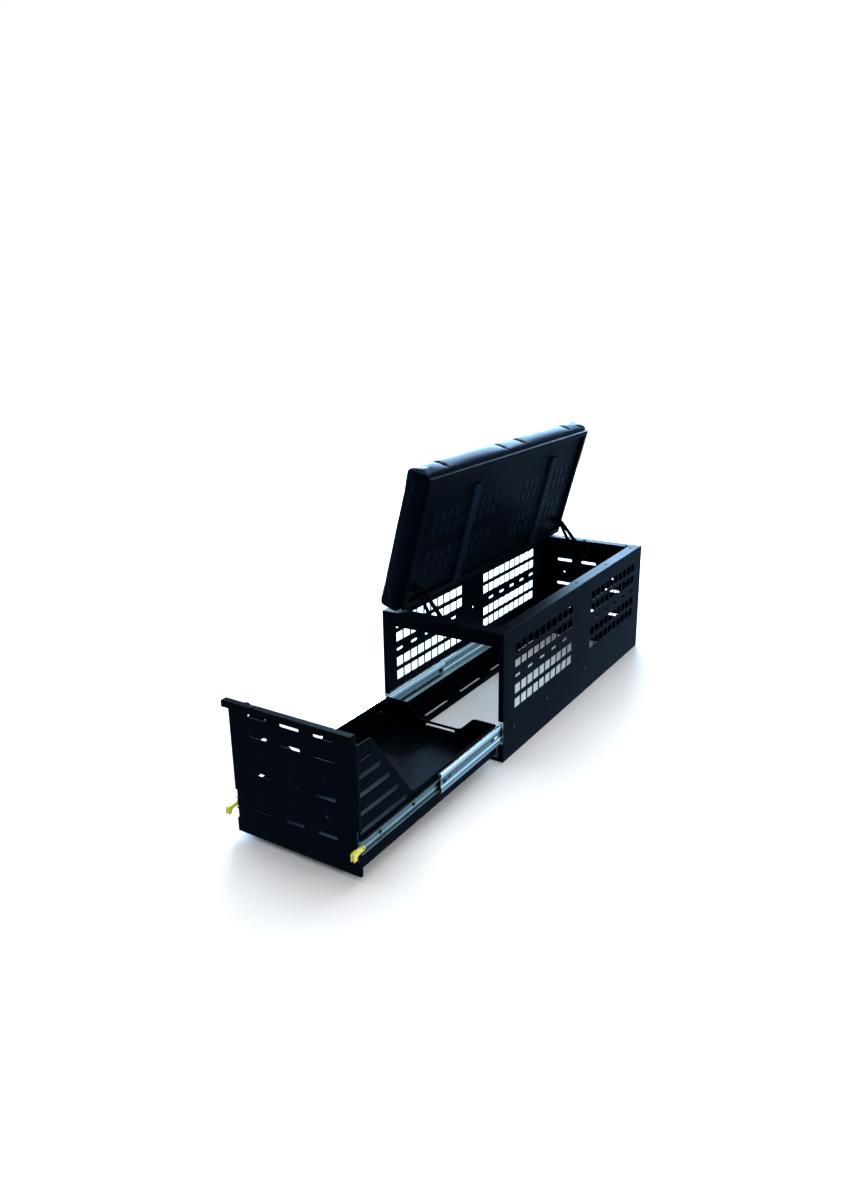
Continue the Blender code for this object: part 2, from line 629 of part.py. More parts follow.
def slides(side, sign, drawer, middles):
    shape = prism(outer_section(), "y", 0, SLIDE_LENGTH)
    outer = solid("slide_outer_" + side, on_side(shape, sign))
    span = (OUTER_X - SLIDE_SHEET - OVERRUN / 2, OUTER_X + OVERRUN)
    cut(outer, *[on_side(prism(ring(SLIDE_LENGTH * s, SLIDE_Z, BOLT_SHANK / 2 + PLAY, SMALL_SIDES), "x", *span), sign)
                 for s in BOLT_SHARES])
    placed(outer, "zinc")

    shape = prism(middle_section(), "y", 0, SLIDE_LENGTH)
    placed(solid("slide_middle_" + side, on_side(shape, sign)), "zinc",
           (sign * MIDDLE_X, 0, SLIDE_Z), middles)

    shape = prism(inner_section(), "y", INNER_START, INNER_END)
    inner = solid("slide_inner_" + side, on_side(shape, sign))
    span = (INNER_X - OVERRUN, INNER_X + SLIDE_SHEET + OVERRUN)
    tools = [prism(ring(INNER_START + SLIDE_LENGTH * s, INNER_Z, SCREW_SHANK / 2 + PLAY, SMALL_SIDES), "x", *span)
             for s in SCREW_SHARES]
    tools.append(prism(ring(LEVER_PIVOT, INNER_Z - LEVER_DROP, EYE_HOLE), "x", *span))
    cut(inner, *[on_side(t, sign) for t in tools])
    placed(inner, "zinc", (sign * INNER_X, INNER_START, INNER_Z), drawer)

    for n, share in enumerate(BOLT_SHARES):
        head, shank = BOLT_HEAD / 2, BOLT_SHANK / 2
        face = HALF + SEAT
        shape = turned([(shank, OUTER_X - SLIDE_SHEET), (shank, face), (head, face),
                        (head * 0.8, face + BOLT_HEAD_HEIGHT)],
                       "x", (0, SLIDE_LENGTH * share, SLIDE_Z), SMALL_SIDES)
        placed(solid("slide_bolt_%s_%d" % (side, n + 1), on_side(shape, sign)), "bolt", smooth=True)

    for n, share in enumerate(SCREW_SHARES):
        head, shank = SCREW_HEAD / 2, SCREW_SHANK / 2
        face = INNER_X + SLIDE_SHEET + SEAT
        y = INNER_START + SLIDE_LENGTH * share
        shape = turned([(shank, WALL_IN), (shank, face), (head, face),
                        (head * 0.8, face + SCREW_HEAD_HEIGHT)],
                       "x", (0, y, INNER_Z), SMALL_SIDES)
        placed(solid("slide_screw_%s_%d" % (side, n + 1), on_side(shape, sign)), "bolt",
               (0, y, INNER_Z), drawer, smooth=True)

    tip, tail = CATCH_START, CATCH_START + CATCH_LENGTH
    outline = [(tip, SLIDE_Z - CATCH_HEIGHT / 2), (tail, SLIDE_Z), (tip, SLIDE_Z + CATCH_HEIGHT / 2)]
    web = MIDDLE_X - MIDDLE_RECESS + SEAT
    shape = prism(rounded(outline, [CATCH_THICK] * 3, 2), "x", web, web + CATCH_THICK)
    placed(solid("slide_catch_" + side, on_side(shape, sign)), "rubber",
           (sign * MIDDLE_X, tip, SLIDE_Z), middles)


# ---------------------------------------------------------------- drawer pieces
def slope_y(z):
    """Place along Y of the gusset's slope at a height."""
    top, foot = WALL_FRONT + GUSSET_LENGTH, WALL_FRONT + GUSSET_FOOT
    return foot + (top - foot) * (z - WALL_TOP) / (GUSSET_TOP - WALL_TOP)


def drawer_side(side, sign, drawer):
    outline = [(WALL_FRONT, DRAWER_BOTTOM), (DRAWER_REAR, DRAWER_BOTTOM), (DRAWER_REAR, WALL_TOP),
               (WALL_FRONT + GUSSET_FOOT, WALL_TOP), (WALL_FRONT + GUSSET_LENGTH, GUSSET_TOP),
               (WALL_FRONT, GUSSET_TOP)]
    outline = rounded(outline, (0, 0, 0, FOOT_ROUND, GUSSET_ROUND, 0), 5)
    obj = solid("drawer_side_" + side, on_side(prism(outline, "x", WALL_IN, WALL_X), sign))
    span = (WALL_IN - OVERRUN, WALL_X + OVERRUN)
    start = WALL_FRONT + GUSSET_SLOT_START
    tools = []
    for share in GUSSET_SLOT_SHARES:
        z = WALL_TOP + (GUSSET_TOP - WALL_TOP) * share
        end = slope_y(z + GUSSET_SLOT_HEIGHT / 2) - GUSSET_SLOT_MARGIN
        tools.append(prism(slot((start + end) / 2, z, end - start, GUSSET_SLOT_HEIGHT), "x", *span))
    for share in SCREW_SHARES:
        tools.append(prism(ring(INNER_START + SLIDE_LENGTH * share, INNER_Z, SCREW_SHANK / 2 + PLAY, SMALL_SIDES),
                           "x", *span))
    cut(obj, *[on_side(t, sign) for t in tools])
    placed(obj, "black", (sign * WALL_X, WALL_FRONT, DRAWER_BOTTOM), drawer)


def drawer_pieces(drawer):
    wide = WALL_IN - SEAT
    floor = block(-wide, wide, WALL_FRONT, DRAWER_REAR - SHEET - SEAT,
                  DRAWER_BOTTOM, DRAWER_BOTTOM + SHEET)
    placed(solid("drawer_floor", floor), "black", (0, WALL_FRONT, DRAWER_BOTTOM), drawer)

    dip = WALL_TOP - REAR_DIP
    outline = [(-wide, DRAWER_BOTTOM), (wide, DRAWER_BOTTOM), (wide, WALL_TOP),
               (REAR_SHOULDER_HALF, WALL_TOP), (REAR_DIP_HALF, dip), (-REAR_DIP_HALF, dip),
               (-REAR_SHOULDER_HALF, WALL_TOP), (-wide, WALL_TOP)]
    rear = solid("drawer_rear", prism(rounded(outline, (0, 0, 0, *[FOOT_ROUND] * 4, 0)), "y",
                                      DRAWER_REAR - SHEET, DRAWER_REAR))
    cut(rear, prism(slot(0, DRAWER_BOTTOM + REAR_CUT_RISE, REAR_CUT_LENGTH, REAR_CUT_HEIGHT), "y",
                    DRAWER_REAR - SHEET - OVERRUN, DRAWER_REAR + OVERRUN))
    placed(rear, "black", (0, DRAWER_REAR, DRAWER_BOTTOM), drawer)

    edge, face, back = FRONT_HALF - SHEET / 2, FRONT_Y + SHEET / 2, FRONT_Y + FRONT_FLANGE
    line = [(-edge, back), (-edge, face), (edge, face), (edge, back)]
    front = solid("drawer_front", prism(folded(line), "z", FRONT_BOTTOM, FRONT_TOP))
    for sign in (-1, 1):
        cut(front, on_side(block(FRONT_HALF - NOTCH_DEPTH, FRONT_HALF + OVERRUN, FRONT_Y - OVERRUN,
                                 back + OVERRUN, SLIDE_Z - NOTCH_BELOW, SLIDE_Z + NOTCH_ABOVE), sign))
        cut(front, on_side(block(FRONT_HALF - SHEET - OVERRUN, FRONT_HALF + OVERRUN, FRONT_BACK,
                                 back + OVERRUN, RAIL_BOTTOM, FRONT_TOP + OVERRUN), sign))
    high = FRONT_TOP - FRONT_BOTTOM
    span = (FRONT_Y - OVERRUN, FRONT_BACK + OVERRUN)
    size = (FRONT_SLOT_LENGTH, FRONT_SLOT_HEIGHT)
    tools = []
    for k in (-1, 0, 1):
        x = k * FRONT_SLOT_SPACING
        for share in FRONT_ROW_SHARES:
            tools.append(prism(slot(x, FRONT_BOTTOM + high * share, *size), "y", *span))
        for share in FRONT_DOT_SHARES:
            tools.append(prism(ring(x, FRONT_BOTTOM + high * share, FRONT_DOT / 2, SMALL_SIDES), "y", *span))
        z = FRONT_BOTTOM + high * FRONT_SPLIT_ROW_SHARE
        if k:
            tools.append(prism(slot(x, z, *size), "y", *span))
            continue
        for turn in (20, 120, 235):
            dx, dz = spin2((SMALL_HOLE_RING, 0), math.radians(turn))
            tools.append(prism(ring(x + dx, z + dz, SMALL_HOLE / 2, SMALL_SIDES), "y", *span))
    cut(front, *tools)
    placed(front, "black", (0, FRONT_Y, FRONT_BOTTOM), drawer)

    back, ahead = FRONT_Y - SEAT, FRONT_Y - SEAT - RAIL_DEPTH
    outline = [(back, RAIL_BOTTOM), (back, RAIL_TOP), (ahead, RAIL_TOP), (ahead, RAIL_TOP - RAIL_LIP),
               (ahead + GROOVE_WALL, RAIL_TOP - RAIL_LIP)]
    outline = rounded(outline, (0, RAIL_ROUND / 2, RAIL_ROUND, GROOVE_WALL / 3, 0), 3)
    rail = solid("drawer_handle", prism(outline, "x", -FRONT_HALF, FRONT_HALF))
    near = ahead + GROOVE_WALL
    groove = [(near, RAIL_BOTTOM - OVERRUN), (near + GROOVE_WIDTH, RAIL_BOTTOM - OVERRUN),
              (near + GROOVE_WIDTH, RAIL_TOP - GROOVE_ROOF), (near, RAIL_TOP - GROOVE_ROOF)]
    end = FRONT_HALF - GROOVE_WALL
    cut(rail, prism(groove, "x", -end, end))
    placed(rail, "rail", (0, FRONT_Y, RAIL_BOTTOM), drawer)

    low, r = RAIL_TOP + SEAT, STUD_DIAMETER / 2
    dome = [(r, low)] + [(r * math.cos(math.radians(t)), low + STUD_HEIGHT * math.sin(math.radians(t)))
                         for t in (20, 45, 70)]
    stud_y = ahead + RAIL_ROUND + (RAIL_DEPTH - RAIL_ROUND * 1.5) / 2
    placed(solid("handle_stud", turned(dome, "z", (STUD_X, stud_y, 0))), "bolt",
           (STUD_X, stud_y, low), drawer, smooth=True)


def lever(side, sign, drawer):
    """Lock lever in the inner member's channel, and the pin that it turns on."""
    z = INNER_Z - LEVER_DROP
    tip, arm = FRONT_Y - LEVER_REACH, LEVER_ARM / 2
    leg, heel = tip + LEVER_LEG, tip + LEVER_HEAD
    eye = [(LEVER_PIVOT + LEVER_EYE * math.cos(t), z + LEVER_EYE * math.sin(t))
           for t in [math.radians(-120 + 30 * k) for k in range(9)]]
    low = INNER_X + SLIDE_SHEET + SEAT
    high = low + LEVER_WIDTH
    obj = solid("lock_lever_" + side, on_side(prism([(leg, z - arm)] + eye + [(leg, z + arm)], "x", low, high), sign))
    head = rounded([(tip, z - LEVER_LEG_DROP), (leg, z - LEVER_LEG_DROP), (leg, z - arm - SEAT),
                    (heel, z - arm - SEAT), (heel, z + arm + SEAT), (tip, z + arm + SEAT)],
                   (0, 0, LEVER_ROUND, 0, LEVER_ROUND / 2, LEVER_ROUND), 3)
    fuse(obj, on_side(prism(head, "x", low - LEVER_FLARE, high + LEVER_FLARE), sign))
    cut(obj, on_side(block(low - LEVER_FLARE + LEVER_WALL, high + LEVER_FLARE - LEVER_WALL, tip - OVERRUN,
                           leg + SEAT, z - LEVER_LEG_DROP - OVERRUN, z + arm - LEVER_WALL), sign))
    cut(obj, on_side(prism(ring(LEVER_PIVOT, z, EYE_HOLE), "x", low - OVERRUN, high + OVERRUN), sign))
    placed(obj, "yellow", (sign * low, LEVER_PIVOT, z), drawer)
    shape = turned([(PIN_RADIUS, INNER_X + SEAT), (PIN_RADIUS, high)], "x", (0, LEVER_PIVOT, z))
    placed(solid("lever_pin_" + side, on_side(shape, sign)), "bolt", (0, LEVER_PIVOT, z), drawer,
           smooth=True)


# ---------------------------------------------------------------- lid's stays
def when_open(p):
    """Where a point (x, z) of the closed lid lies with the lid open."""
    q = spin2((p[0] - LID_X, p[1] - LID_Z), LID_ANGLE)
    return (LID_X + LID_SHIFT + q[0], LID_Z + LID_RAISE + q[1])


def pivot_of(closed, opened, offset):
    """The fixed pivot whose bar carries a pin from its closed to its open place."""
    dx, dz = opened[0] - closed[0], opened[1] - closed[1]
    far = math.hypot(dx, dz)
    return ((closed[0] + opened[0]) / 2 + dz / far * offset,
            (closed[1] + opened[1]) / 2 - dx / far * offset)


CRANK_SHUT = (LID_X + CRANK_PIN_X, LID_Z - CRANK_PIN_DROP)
ROCKER_SHUT = (LID_X + ROCKER_PIN_X, LID_Z - ROCKER_PIN_DROP)
CRANK_OPEN, ROCKER_OPEN = when_open(CRANK_SHUT), when_open(ROCKER_SHUT)
CRANK_PIVOT = pivot_of(CRANK_SHUT, CRANK_OPEN, CRANK_OFFSET)
ROCKER_PIVOT = pivot_of(ROCKER_SHUT, ROCKER_OPEN, ROCKER_OFFSET)
STAY_Y = (STAY_INSET, STAY_INSET + STAY_PLATE)
CRANK_Y = (STAY_Y[1] + STAY_GAP, STAY_Y[1] + STAY_GAP + LINK_PLATE)
BRACKET_Y = (CRANK_Y[1] + STAY_GAP, CRANK_Y[1] + STAY_GAP + STAY_PLATE)
ROCKER_Y = (BRACKET_Y[1] + STAY_GAP, BRACKET_Y[1] + STAY_GAP + LINK_PLATE)


def pin(name, end, at, profile, look, carrier=None, zero=None):
    shape = on_end(turned(profile, "y", (at[0], 0, at[1])), end)
    y = STAY_Y[0] if end == "front" else CABINET_LENGTH - STAY_Y[0]
    placed(solid("%s_%s" % (name, end), shape), look, (at[0], y, at[1]), carrier, smooth=True)


def stays(end, lid):
    foot_top = CABINET_HEIGHT - SHEET - SEAT
    foot = (foot_top - STAY_PLATE, foot_top)
    left, right = CRANK_PIVOT[0] - STAY_MARGIN, ROCKER_PIVOT[0] + STAY_MARGIN
    middle = (foot[0] + foot[1]) / 2
    outline = hull([(left, middle), (right, middle)]
                   + ring(*CRANK_PIVOT, LINK_EYE, SIDES) + ring(*ROCKER_PIVOT, ROCKER_EYE, SIDES))
    outline = [p for p in outline if p[1] <= middle]
    plate = solid("stay_bracket_" + end, on_end(prism(outline, "y", *STAY_Y), end))
    fuse(plate, on_end(block(left, right, STAY_FOOT_START, STAY_Y[1], *foot), end))
    holes = [prism(ring(*p, EYE_HOLE), "y", STAY_Y[0] - OVERRUN / 2, STAY_Y[1] + OVERRUN)
             for p in (CRANK_PIVOT, ROCKER_PIVOT)]
    cut(plate, *[on_end(h, end) for h in holes])
    placed(plate, "black")

    head, r = PIN_HEAD / 2, PIN_RADIUS
    before = STAY_Y[0] - SEAT
    pin("stay_pin", end, CRANK_PIVOT, [(head, before - PIN_HEAD_HEIGHT), (head, before), (r, before),
                                       (r, CRANK_Y[1] + STAY_GAP / 2)], "bolt")
    behind = ROCKER_Y[1] + SEAT
    shoulder = (STAY_Y[1] + SEAT, ROCKER_Y[0] - SEAT)
    pin("rocker_pin", end, ROCKER_PIVOT,
        [(r, STAY_Y[0]), (r, shoulder[0]), (head, shoulder[0]), (head, shoulder[1]), (r, shoulder[1]),
         (r, behind), (head, behind), (head, behind + PIN_HEAD_HEIGHT)], "bolt")

    turn_y = CRANK_Y[0] if end == "front" else CABINET_LENGTH - CRANK_Y[0]
    crank = solid("lid_crank_" + end, on_end(prism(link(CRANK_PIVOT, CRANK_OPEN, LINK_EYE), "y", *CRANK_Y), end))
    cut(crank, *[on_end(prism(ring(*p, EYE_HOLE), "y", CRANK_Y[0] - OVERRUN, CRANK_Y[1] + OVERRUN), end)
                 for p in (CRANK_PIVOT, CRANK_OPEN)])
    placed(crank, "black", (CRANK_PIVOT[0], turn_y, CRANK_PIVOT[1]))

    turn_y = ROCKER_Y[0] if end == "front" else CABINET_LENGTH - ROCKER_Y[0]
    rocker = solid("lid_rocker_" + end, on_end(prism(link(ROCKER_PIVOT, ROCKER_OPEN, ROCKER_EYE), "y",
                                                     *ROCKER_Y), end))
    span = (ROCKER_Y[0] - OVERRUN, ROCKER_Y[1] + OVERRUN)
    cut(rocker, on_end(prism(ring(*ROCKER_PIVOT, EYE_HOLE), "y", *span), end),
        on_end(prism(ring(*ROCKER_OPEN, PIN_RADIUS + OPEN_PLAY), "y", *span), end))
    placed(rocker, "black", (ROCKER_PIVOT[0], turn_y, ROCKER_PIVOT[1]))

    under = PLATE_UNDER - SEAT
    foot = (under - STAY_PLATE, under)
    middle = (foot[0] + foot[1]) / 2
    left, right = LID_X + FOOT_X, LID_X + FOOT_X + FOOT_WIDTH
    outline = hull([(LID_X + TOP_FLANGE, middle), (right, middle)] + ring(*CRANK_SHUT, BRACKET_EYE)
                   + ring(*ROCKER_SHUT, BRACKET_EYE))      # clear of the side panel's top flange
    web = solid("lid_bracket_" + end, on_end(prism(outline, "y", *BRACKET_Y), end))
    fuse(web, on_end(block(left, right, FOOT_FRONT, FOOT_FRONT + FOOT_LENGTH, *foot), end))
    span = (BRACKET_Y[0] - OVERRUN, BRACKET_Y[1] + OVERRUN)
    cut(web, *[on_end(prism(ring(*p, EYE_HOLE), "y", *span), end) for p in (CRANK_SHUT, ROCKER_SHUT)])
    placed(web, "black", (CRANK_SHUT[0], 0, CRANK_SHUT[1]), lid)

    before = CRANK_Y[0] - SEAT
    pin("crank_pin", end, CRANK_SHUT, [(head, before - PIN_HEAD_HEIGHT), (head, before), (r, before),
                                       (r, BRACKET_Y[1] + STAY_GAP / 2)], "bolt", lid)
    pin("lid_pin", end, ROCKER_SHUT, [(r, BRACKET_Y[0] - STAY_GAP / 2), (r, behind), (head, behind),
                                      (head, behind + PIN_HEAD_HEIGHT)], "bolt", lid)


# ---------------------------------------------------------------- lid
def lid_pan(lid):
    right, rear, top = LID_X + CABINET_WIDTH, CABINET_LENGTH, LID_Z + LID_RIM
    obj = solid("lid_pan", block(LID_X, right, 0, rear, LID_Z, top))
    bm = bmesh.new()
    bm.from_mesh(obj.data)
    edges = [e for e in bm.edges if max(v.co.z for v in e.verts) > LID_Z + SHEET]
    bmesh.ops.bevel(bm, geom=edges, offset=LID_CORNER, segments=2, affect="EDGES", profile=0.5)
    bm.to_mesh(obj.data)
    bm.free()
    inner = LID_RETURN
    cut(obj, block(LID_X + inner, right - inner, inner, rear - inner, LID_Z - OVERRUN, LID_Z + LID_RIM / 2))
    cut(obj, block(LID_X + SHEET, right - SHEET, SHEET, rear - SHEET, LID_Z + SHEET, PLATE_UNDER))
    middle = CABINET_LENGTH / 2
    cut(obj, block(right - inner - OVERRUN, right - SHEET, middle - LID_GAP_LENGTH / 2,
                   middle + LID_GAP_LENGTH / 2, LID_Z - OVERRUN, LID_Z + SHEET + OVERRUN / 2))
    columns = 1 + int((middle - LID_BLANK_BAND - LID_BLOCK_START - LID_HOLE_LENGTH) / LID_HOLE_PITCH)
    tools = []
    for begin in (LID_BLOCK_START, LID_BLOCK_START + middle):
        for k in range(columns):
            y = begin + LID_HOLE_LENGTH / 2 + k * LID_HOLE_PITCH
            for row in LID_ROWS:
                x = LID_X + LID_PATTERN_X + row
                tools.append(prism(oblong(x, y, LID_HOLE_WIDTH, LID_HOLE_LENGTH), "z",
                                   PLATE_UNDER - OVERRUN / 2, top + OVERRUN))
    cut(obj, *tools)
    placed(obj, "black", (LID_X, 0, LID_Z), lid)


def straps(lid):
    low = LID_Z + SHEET / 2
    for name, share in zip(ENDS, STRAP_SHARES):
        near = CABINET_LENGTH * share - STRAP_WIDTH / 2 + SHEET / 2
        far = near + STRAP_WIDTH - SHEET
        line = [(near, PLATE_UNDER - SEAT), (near, low), (far, low), (far, PLATE_UNDER - SEAT)]
        shape = prism(folded(line), "x", LID_X + STRAP_START, LID_X + CABINET_WIDTH - STRAP_STOP)
        placed(solid("lid_strap_" + name, shape), "black", (LID_X + STRAP_START, near, LID_Z), lid)


def cushion(lid):
    """Soft top: crowned, its sides bulging and drawn in, hollowed along its cross seams."""
    middle_x, base = LID_X + CABINET_WIDTH / 2, LID_Z + LID_RIM + SEAT
    wide, tuck = HALF + CUSHION_BULGE, HALF - CUSHION_TUCK
    shoulder = wide - CUSHION_SHOULDER
    half = []                                   # from the base's middle out, up and back in
    for share in (0, 0.5):
        half.append((tuck * share, 0))
    for k in range(8):                          # the side, from the tuck over the bulge
        t = math.radians(-90 + 180 * k / 7)
        inset = tuck if t < 0 else shoulder
        rise = math.copysign(abs(math.sin(t)) ** FULL_SHARE, t)
        half.append((inset + (wide - inset) * abs(math.cos(t)) ** FULL_SHARE, CUSHION_HEIGHT / 2 * (1 + rise)))
    for share in (0.8, 0.55, 0.25, 0):
        half.append((shoulder * share, CUSHION_HEIGHT + CUSHION_CROWN * (1 - share ** 2)))
    section = half + [(-x, z) for x, z in half[-2:0:-1]]
    reach = CABINET_LENGTH / 2 + CUSHION_BULGE
    stations = [(-reach + CUSHION_END * (1 - math.cos(math.radians(t)) ** FULL_SHARE),
                 math.sin(math.radians(t)) ** FULL_SHARE) for t in (20, 42, 66, 90)]
    places = []
    for share in SEAM_SHARES:
        y = CABINET_LENGTH * (share - 0.5)
        places += [(y - SEAM_REACH, 0), (y - SEAM_REACH / 3, 0.6), (y, 1), (y + SEAM_REACH / 3, 0.6),
                   (y + SEAM_REACH, 0)]
    for a, b in zip(SEAM_SHARES, SEAM_SHARES[1:]):
        places.append((CABINET_LENGTH * ((a + b) / 2 - 0.5), 0))
    rows = [(y, s, 0) for y, s in stations] + sorted((y, 1, d) for y, d in places)
    rows += [(-y, s, 0) for y, s in reversed(stations)]
    verts, faces = [], []
    count = len(section)
    for y, s, dip in rows:
        for x, z in section:
            x = math.copysign(max(abs(x) - CUSHION_END * (1 - s), abs(x) * s), x) if x else 0
            z = CUSHION_HEIGHT / 2 + (z - CUSHION_HEIGHT / 2) * s
            draw = SEAM_DIP * dip * min(1, z / (CUSHION_HEIGHT / 2))
            x *= 1 - draw / wide
            z -= draw * z / CUSHION_HEIGHT
            verts.append((middle_x + x, CABINET_LENGTH / 2 + y, base + z))
    for j in range(len(rows) - 1):
        for k in range(count):
            a, b = j * count + k, j * count + (k + 1) % count
            faces.append((a, b, b + count, a + count))
    faces.append(tuple(range(count)))
    faces.append(tuple(range((len(rows) - 1) * count, len(rows) * count)))
    placed(solid("cushion", (verts, faces)), "vinyl", (middle_x, CABINET_LENGTH / 2, base), lid, smooth=True)


# ---------------------------------------------------------------- assembly
travel = joint_empty("drawer_travel", (0, -SLIDE_LENGTH, SLIDE_Z), (0, 0, SLIDE_Z))
half_travel = joint_empty("middle_travel", (0, -SLIDE_LENGTH / 2, SLIDE_Z), (0, 0, SLIDE_Z))
hinge = joint_empty("lid_hinge", (CRANK_OPEN[0], 0, CRANK_OPEN[1]), (CRANK_SHUT[0], 0, CRANK_SHUT[1]),
                    -LID_ANGLE)

for side_name, side_sign in SIDES_LR:
    side_panel("side_panel_" + side_name, side_sign)
    slides(side_name, side_sign, travel, half_travel)
    drawer_side(side_name, side_sign, travel)
    lever(side_name, side_sign, travel)
front_header()
front_sill()
rear_panel()
buffers()
drawer_pieces(travel)
for end_name in ENDS:
    stays(end_name, hinge)
lid_pan(hinge)
straps(hinge)
cushion(hinge)
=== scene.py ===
"""Looks of the cargo slide: powder-coated folded steel, zinc slides with their running
gear, yellow lock levers, and a sewn vinyl cushion on the lid.

The camera is the photograph's. Pieces of the lid are drawn as if it were shut and then
turned to where it stands open. Pieces of the slides are drawn for the right side."""
import json
import math

import bmesh
import bpy
from mathutils import Matrix, Vector, noise
from mathutils.bvhtree import BVHTree

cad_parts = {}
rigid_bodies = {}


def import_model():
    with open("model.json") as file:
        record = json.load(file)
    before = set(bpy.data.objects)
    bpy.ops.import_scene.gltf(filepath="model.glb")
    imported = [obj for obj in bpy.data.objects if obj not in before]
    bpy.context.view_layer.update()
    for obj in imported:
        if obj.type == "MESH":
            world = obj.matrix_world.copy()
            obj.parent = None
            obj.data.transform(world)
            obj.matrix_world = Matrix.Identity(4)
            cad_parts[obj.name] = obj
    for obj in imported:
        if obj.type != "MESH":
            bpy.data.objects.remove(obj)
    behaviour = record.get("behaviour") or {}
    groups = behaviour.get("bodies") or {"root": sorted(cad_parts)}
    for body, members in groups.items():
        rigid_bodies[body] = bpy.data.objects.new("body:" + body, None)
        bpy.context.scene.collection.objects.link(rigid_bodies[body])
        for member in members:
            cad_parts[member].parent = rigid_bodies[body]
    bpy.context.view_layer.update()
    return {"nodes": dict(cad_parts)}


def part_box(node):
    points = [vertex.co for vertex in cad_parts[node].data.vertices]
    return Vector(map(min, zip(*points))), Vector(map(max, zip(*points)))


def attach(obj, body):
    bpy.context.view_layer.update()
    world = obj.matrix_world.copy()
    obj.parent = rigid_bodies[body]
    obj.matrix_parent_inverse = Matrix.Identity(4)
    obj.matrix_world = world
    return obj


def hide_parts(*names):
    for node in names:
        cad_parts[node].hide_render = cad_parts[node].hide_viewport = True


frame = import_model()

nodes = frame["nodes"]

# ---------------------------------------------------------------- cabinet and lid, in metres
CABINET_WIDTH, CABINET_LENGTH, CABINET_HEIGHT = 0.480, 1.260, 0.460
CABINET_FRONT = -0.023
LID_ANGLE = math.radians(75.0)
LID_CORNER = Vector((-0.240, 0, 0.4603))        # the shut lid's lower left corner
LID_MOVE = Vector((0.0875, 0, 0.0128))          # that corner's way to where it stands open
LID_RIM = 0.014                                 # height of the pan under the cushion
SLIDE_Z = 0.106                                 # middle of the slides' height
LID_OPEN = (Matrix.Translation(LID_CORNER + LID_MOVE) @ Matrix.Rotation(-LID_ANGLE, 4, "Y")
            @ Matrix.Translation(-LID_CORNER))


# ---------------------------------------------------------------- finishes
class Strand:
    """A value in a finish. A sum or product of strands adds the nodes that work it out."""

    def __init__(self, finish, socket):
        self.finish, self.socket = finish, socket

    def reckon(self, operation, first, second):
        return self.finish.node("ShaderNodeMath", {"operation": operation}, {0: first, 1: second})

    def __add__(self, other):
        return self.reckon("ADD", self, other)

    def __sub__(self, other):
        return self.reckon("SUBTRACT", self, other)

    def __mul__(self, other):
        return self.reckon("MULTIPLY", self, other)

    def __rmul__(self, other):
        return self.reckon("MULTIPLY", other, self)


class Finish:
    """One finish: the fixed values of its shader, and the nodes that vary it."""

    def __init__(self, name, fixed):
        self.material = bpy.data.materials.new(name)
        self.material.use_nodes = True
        self.tree = self.material.node_tree
        self.shader = next(n for n in self.tree.nodes if n.type == "BSDF_PRINCIPLED")
        for key, value in fixed.items():
            self.shader.inputs[key].default_value = value

    def feed(self, socket, value):
        if isinstance(value, Strand):
            self.tree.links.new(value.socket, socket)
        else:
            socket.default_value = value

    def node(self, kind, settings=None, sockets=None, out=0):
        """Any node: its settings first, then the values or strands of its sockets."""
        made = self.tree.nodes.new(kind)
        for key, value in (settings or {}).items():
            if key == "stops":
                stops = made.color_ramp.elements
                stops.remove(stops[1])
                stops[0].position, stops[0].color = value[0]
                for place, colour in value[1:]:
                    stops.new(place).color = colour
            else:
                setattr(made, key, value)
        for key, value in (sockets or {}).items():
            self.feed(made.inputs[key], value)
        return Strand(self, made.outputs[out])

    def place(self, stretch=(1, 1, 1)):
        """Object coordinates, stretched for a grain that runs one way."""
        spot = self.node("ShaderNodeTexCoord", out="Object")
        return self.node("ShaderNodeMapping", sockets={"Vector": spot, "Scale": stretch})

    def cloud(self, scale, detail=2.0, stretch=(1, 1, 1)):
        return self.node("ShaderNodeTexNoise", sockets={
            "Vector": self.place(stretch), "Scale": scale, "Detail": detail})

    def span(self, value, low, high, to_low=0.0, to_high=1.0):
        return self.node("ShaderNodeMapRange", sockets={
            0: value, 1: low, 2: high, 3: to_low, 4: to_high})

    def tint(self, share, first, second):
        return self.node("ShaderNodeMix", {"data_type": "RGBA"},
                         {0: share, 6: first, 7: second}, 2)

    def soft_edge(self, radius):
        """The normal as if each sharp edge had this radius, and how near an edge a point is."""
        soft = self.node("ShaderNodeBevel", {"samples": 4}, {"Radius": radius})
        true = self.node("ShaderNodeNewGeometry", out="Normal")
        along = self.node("ShaderNodeVectorMath", {"operation": "DOT_PRODUCT"},
                          {0: soft, 1: true}, "Value")
        return soft, self.span(along, 1.0, 0.75)

    def relief(self, height, strength, distance, under=None):
        sockets = {"Height": height, "Strength": strength, "Distance": distance}
        if under is not None:
            sockets["Normal"] = under
        return self.node("ShaderNodeBump", sockets=sockets)

    def wear(self, **fed):
        """Feeds the shader's own sockets; Base_Color stands for Base Color."""
        for key, value in fed.items():
            self.feed(self.shader.inputs[key.replace("_", " ")], value)
        return self.material


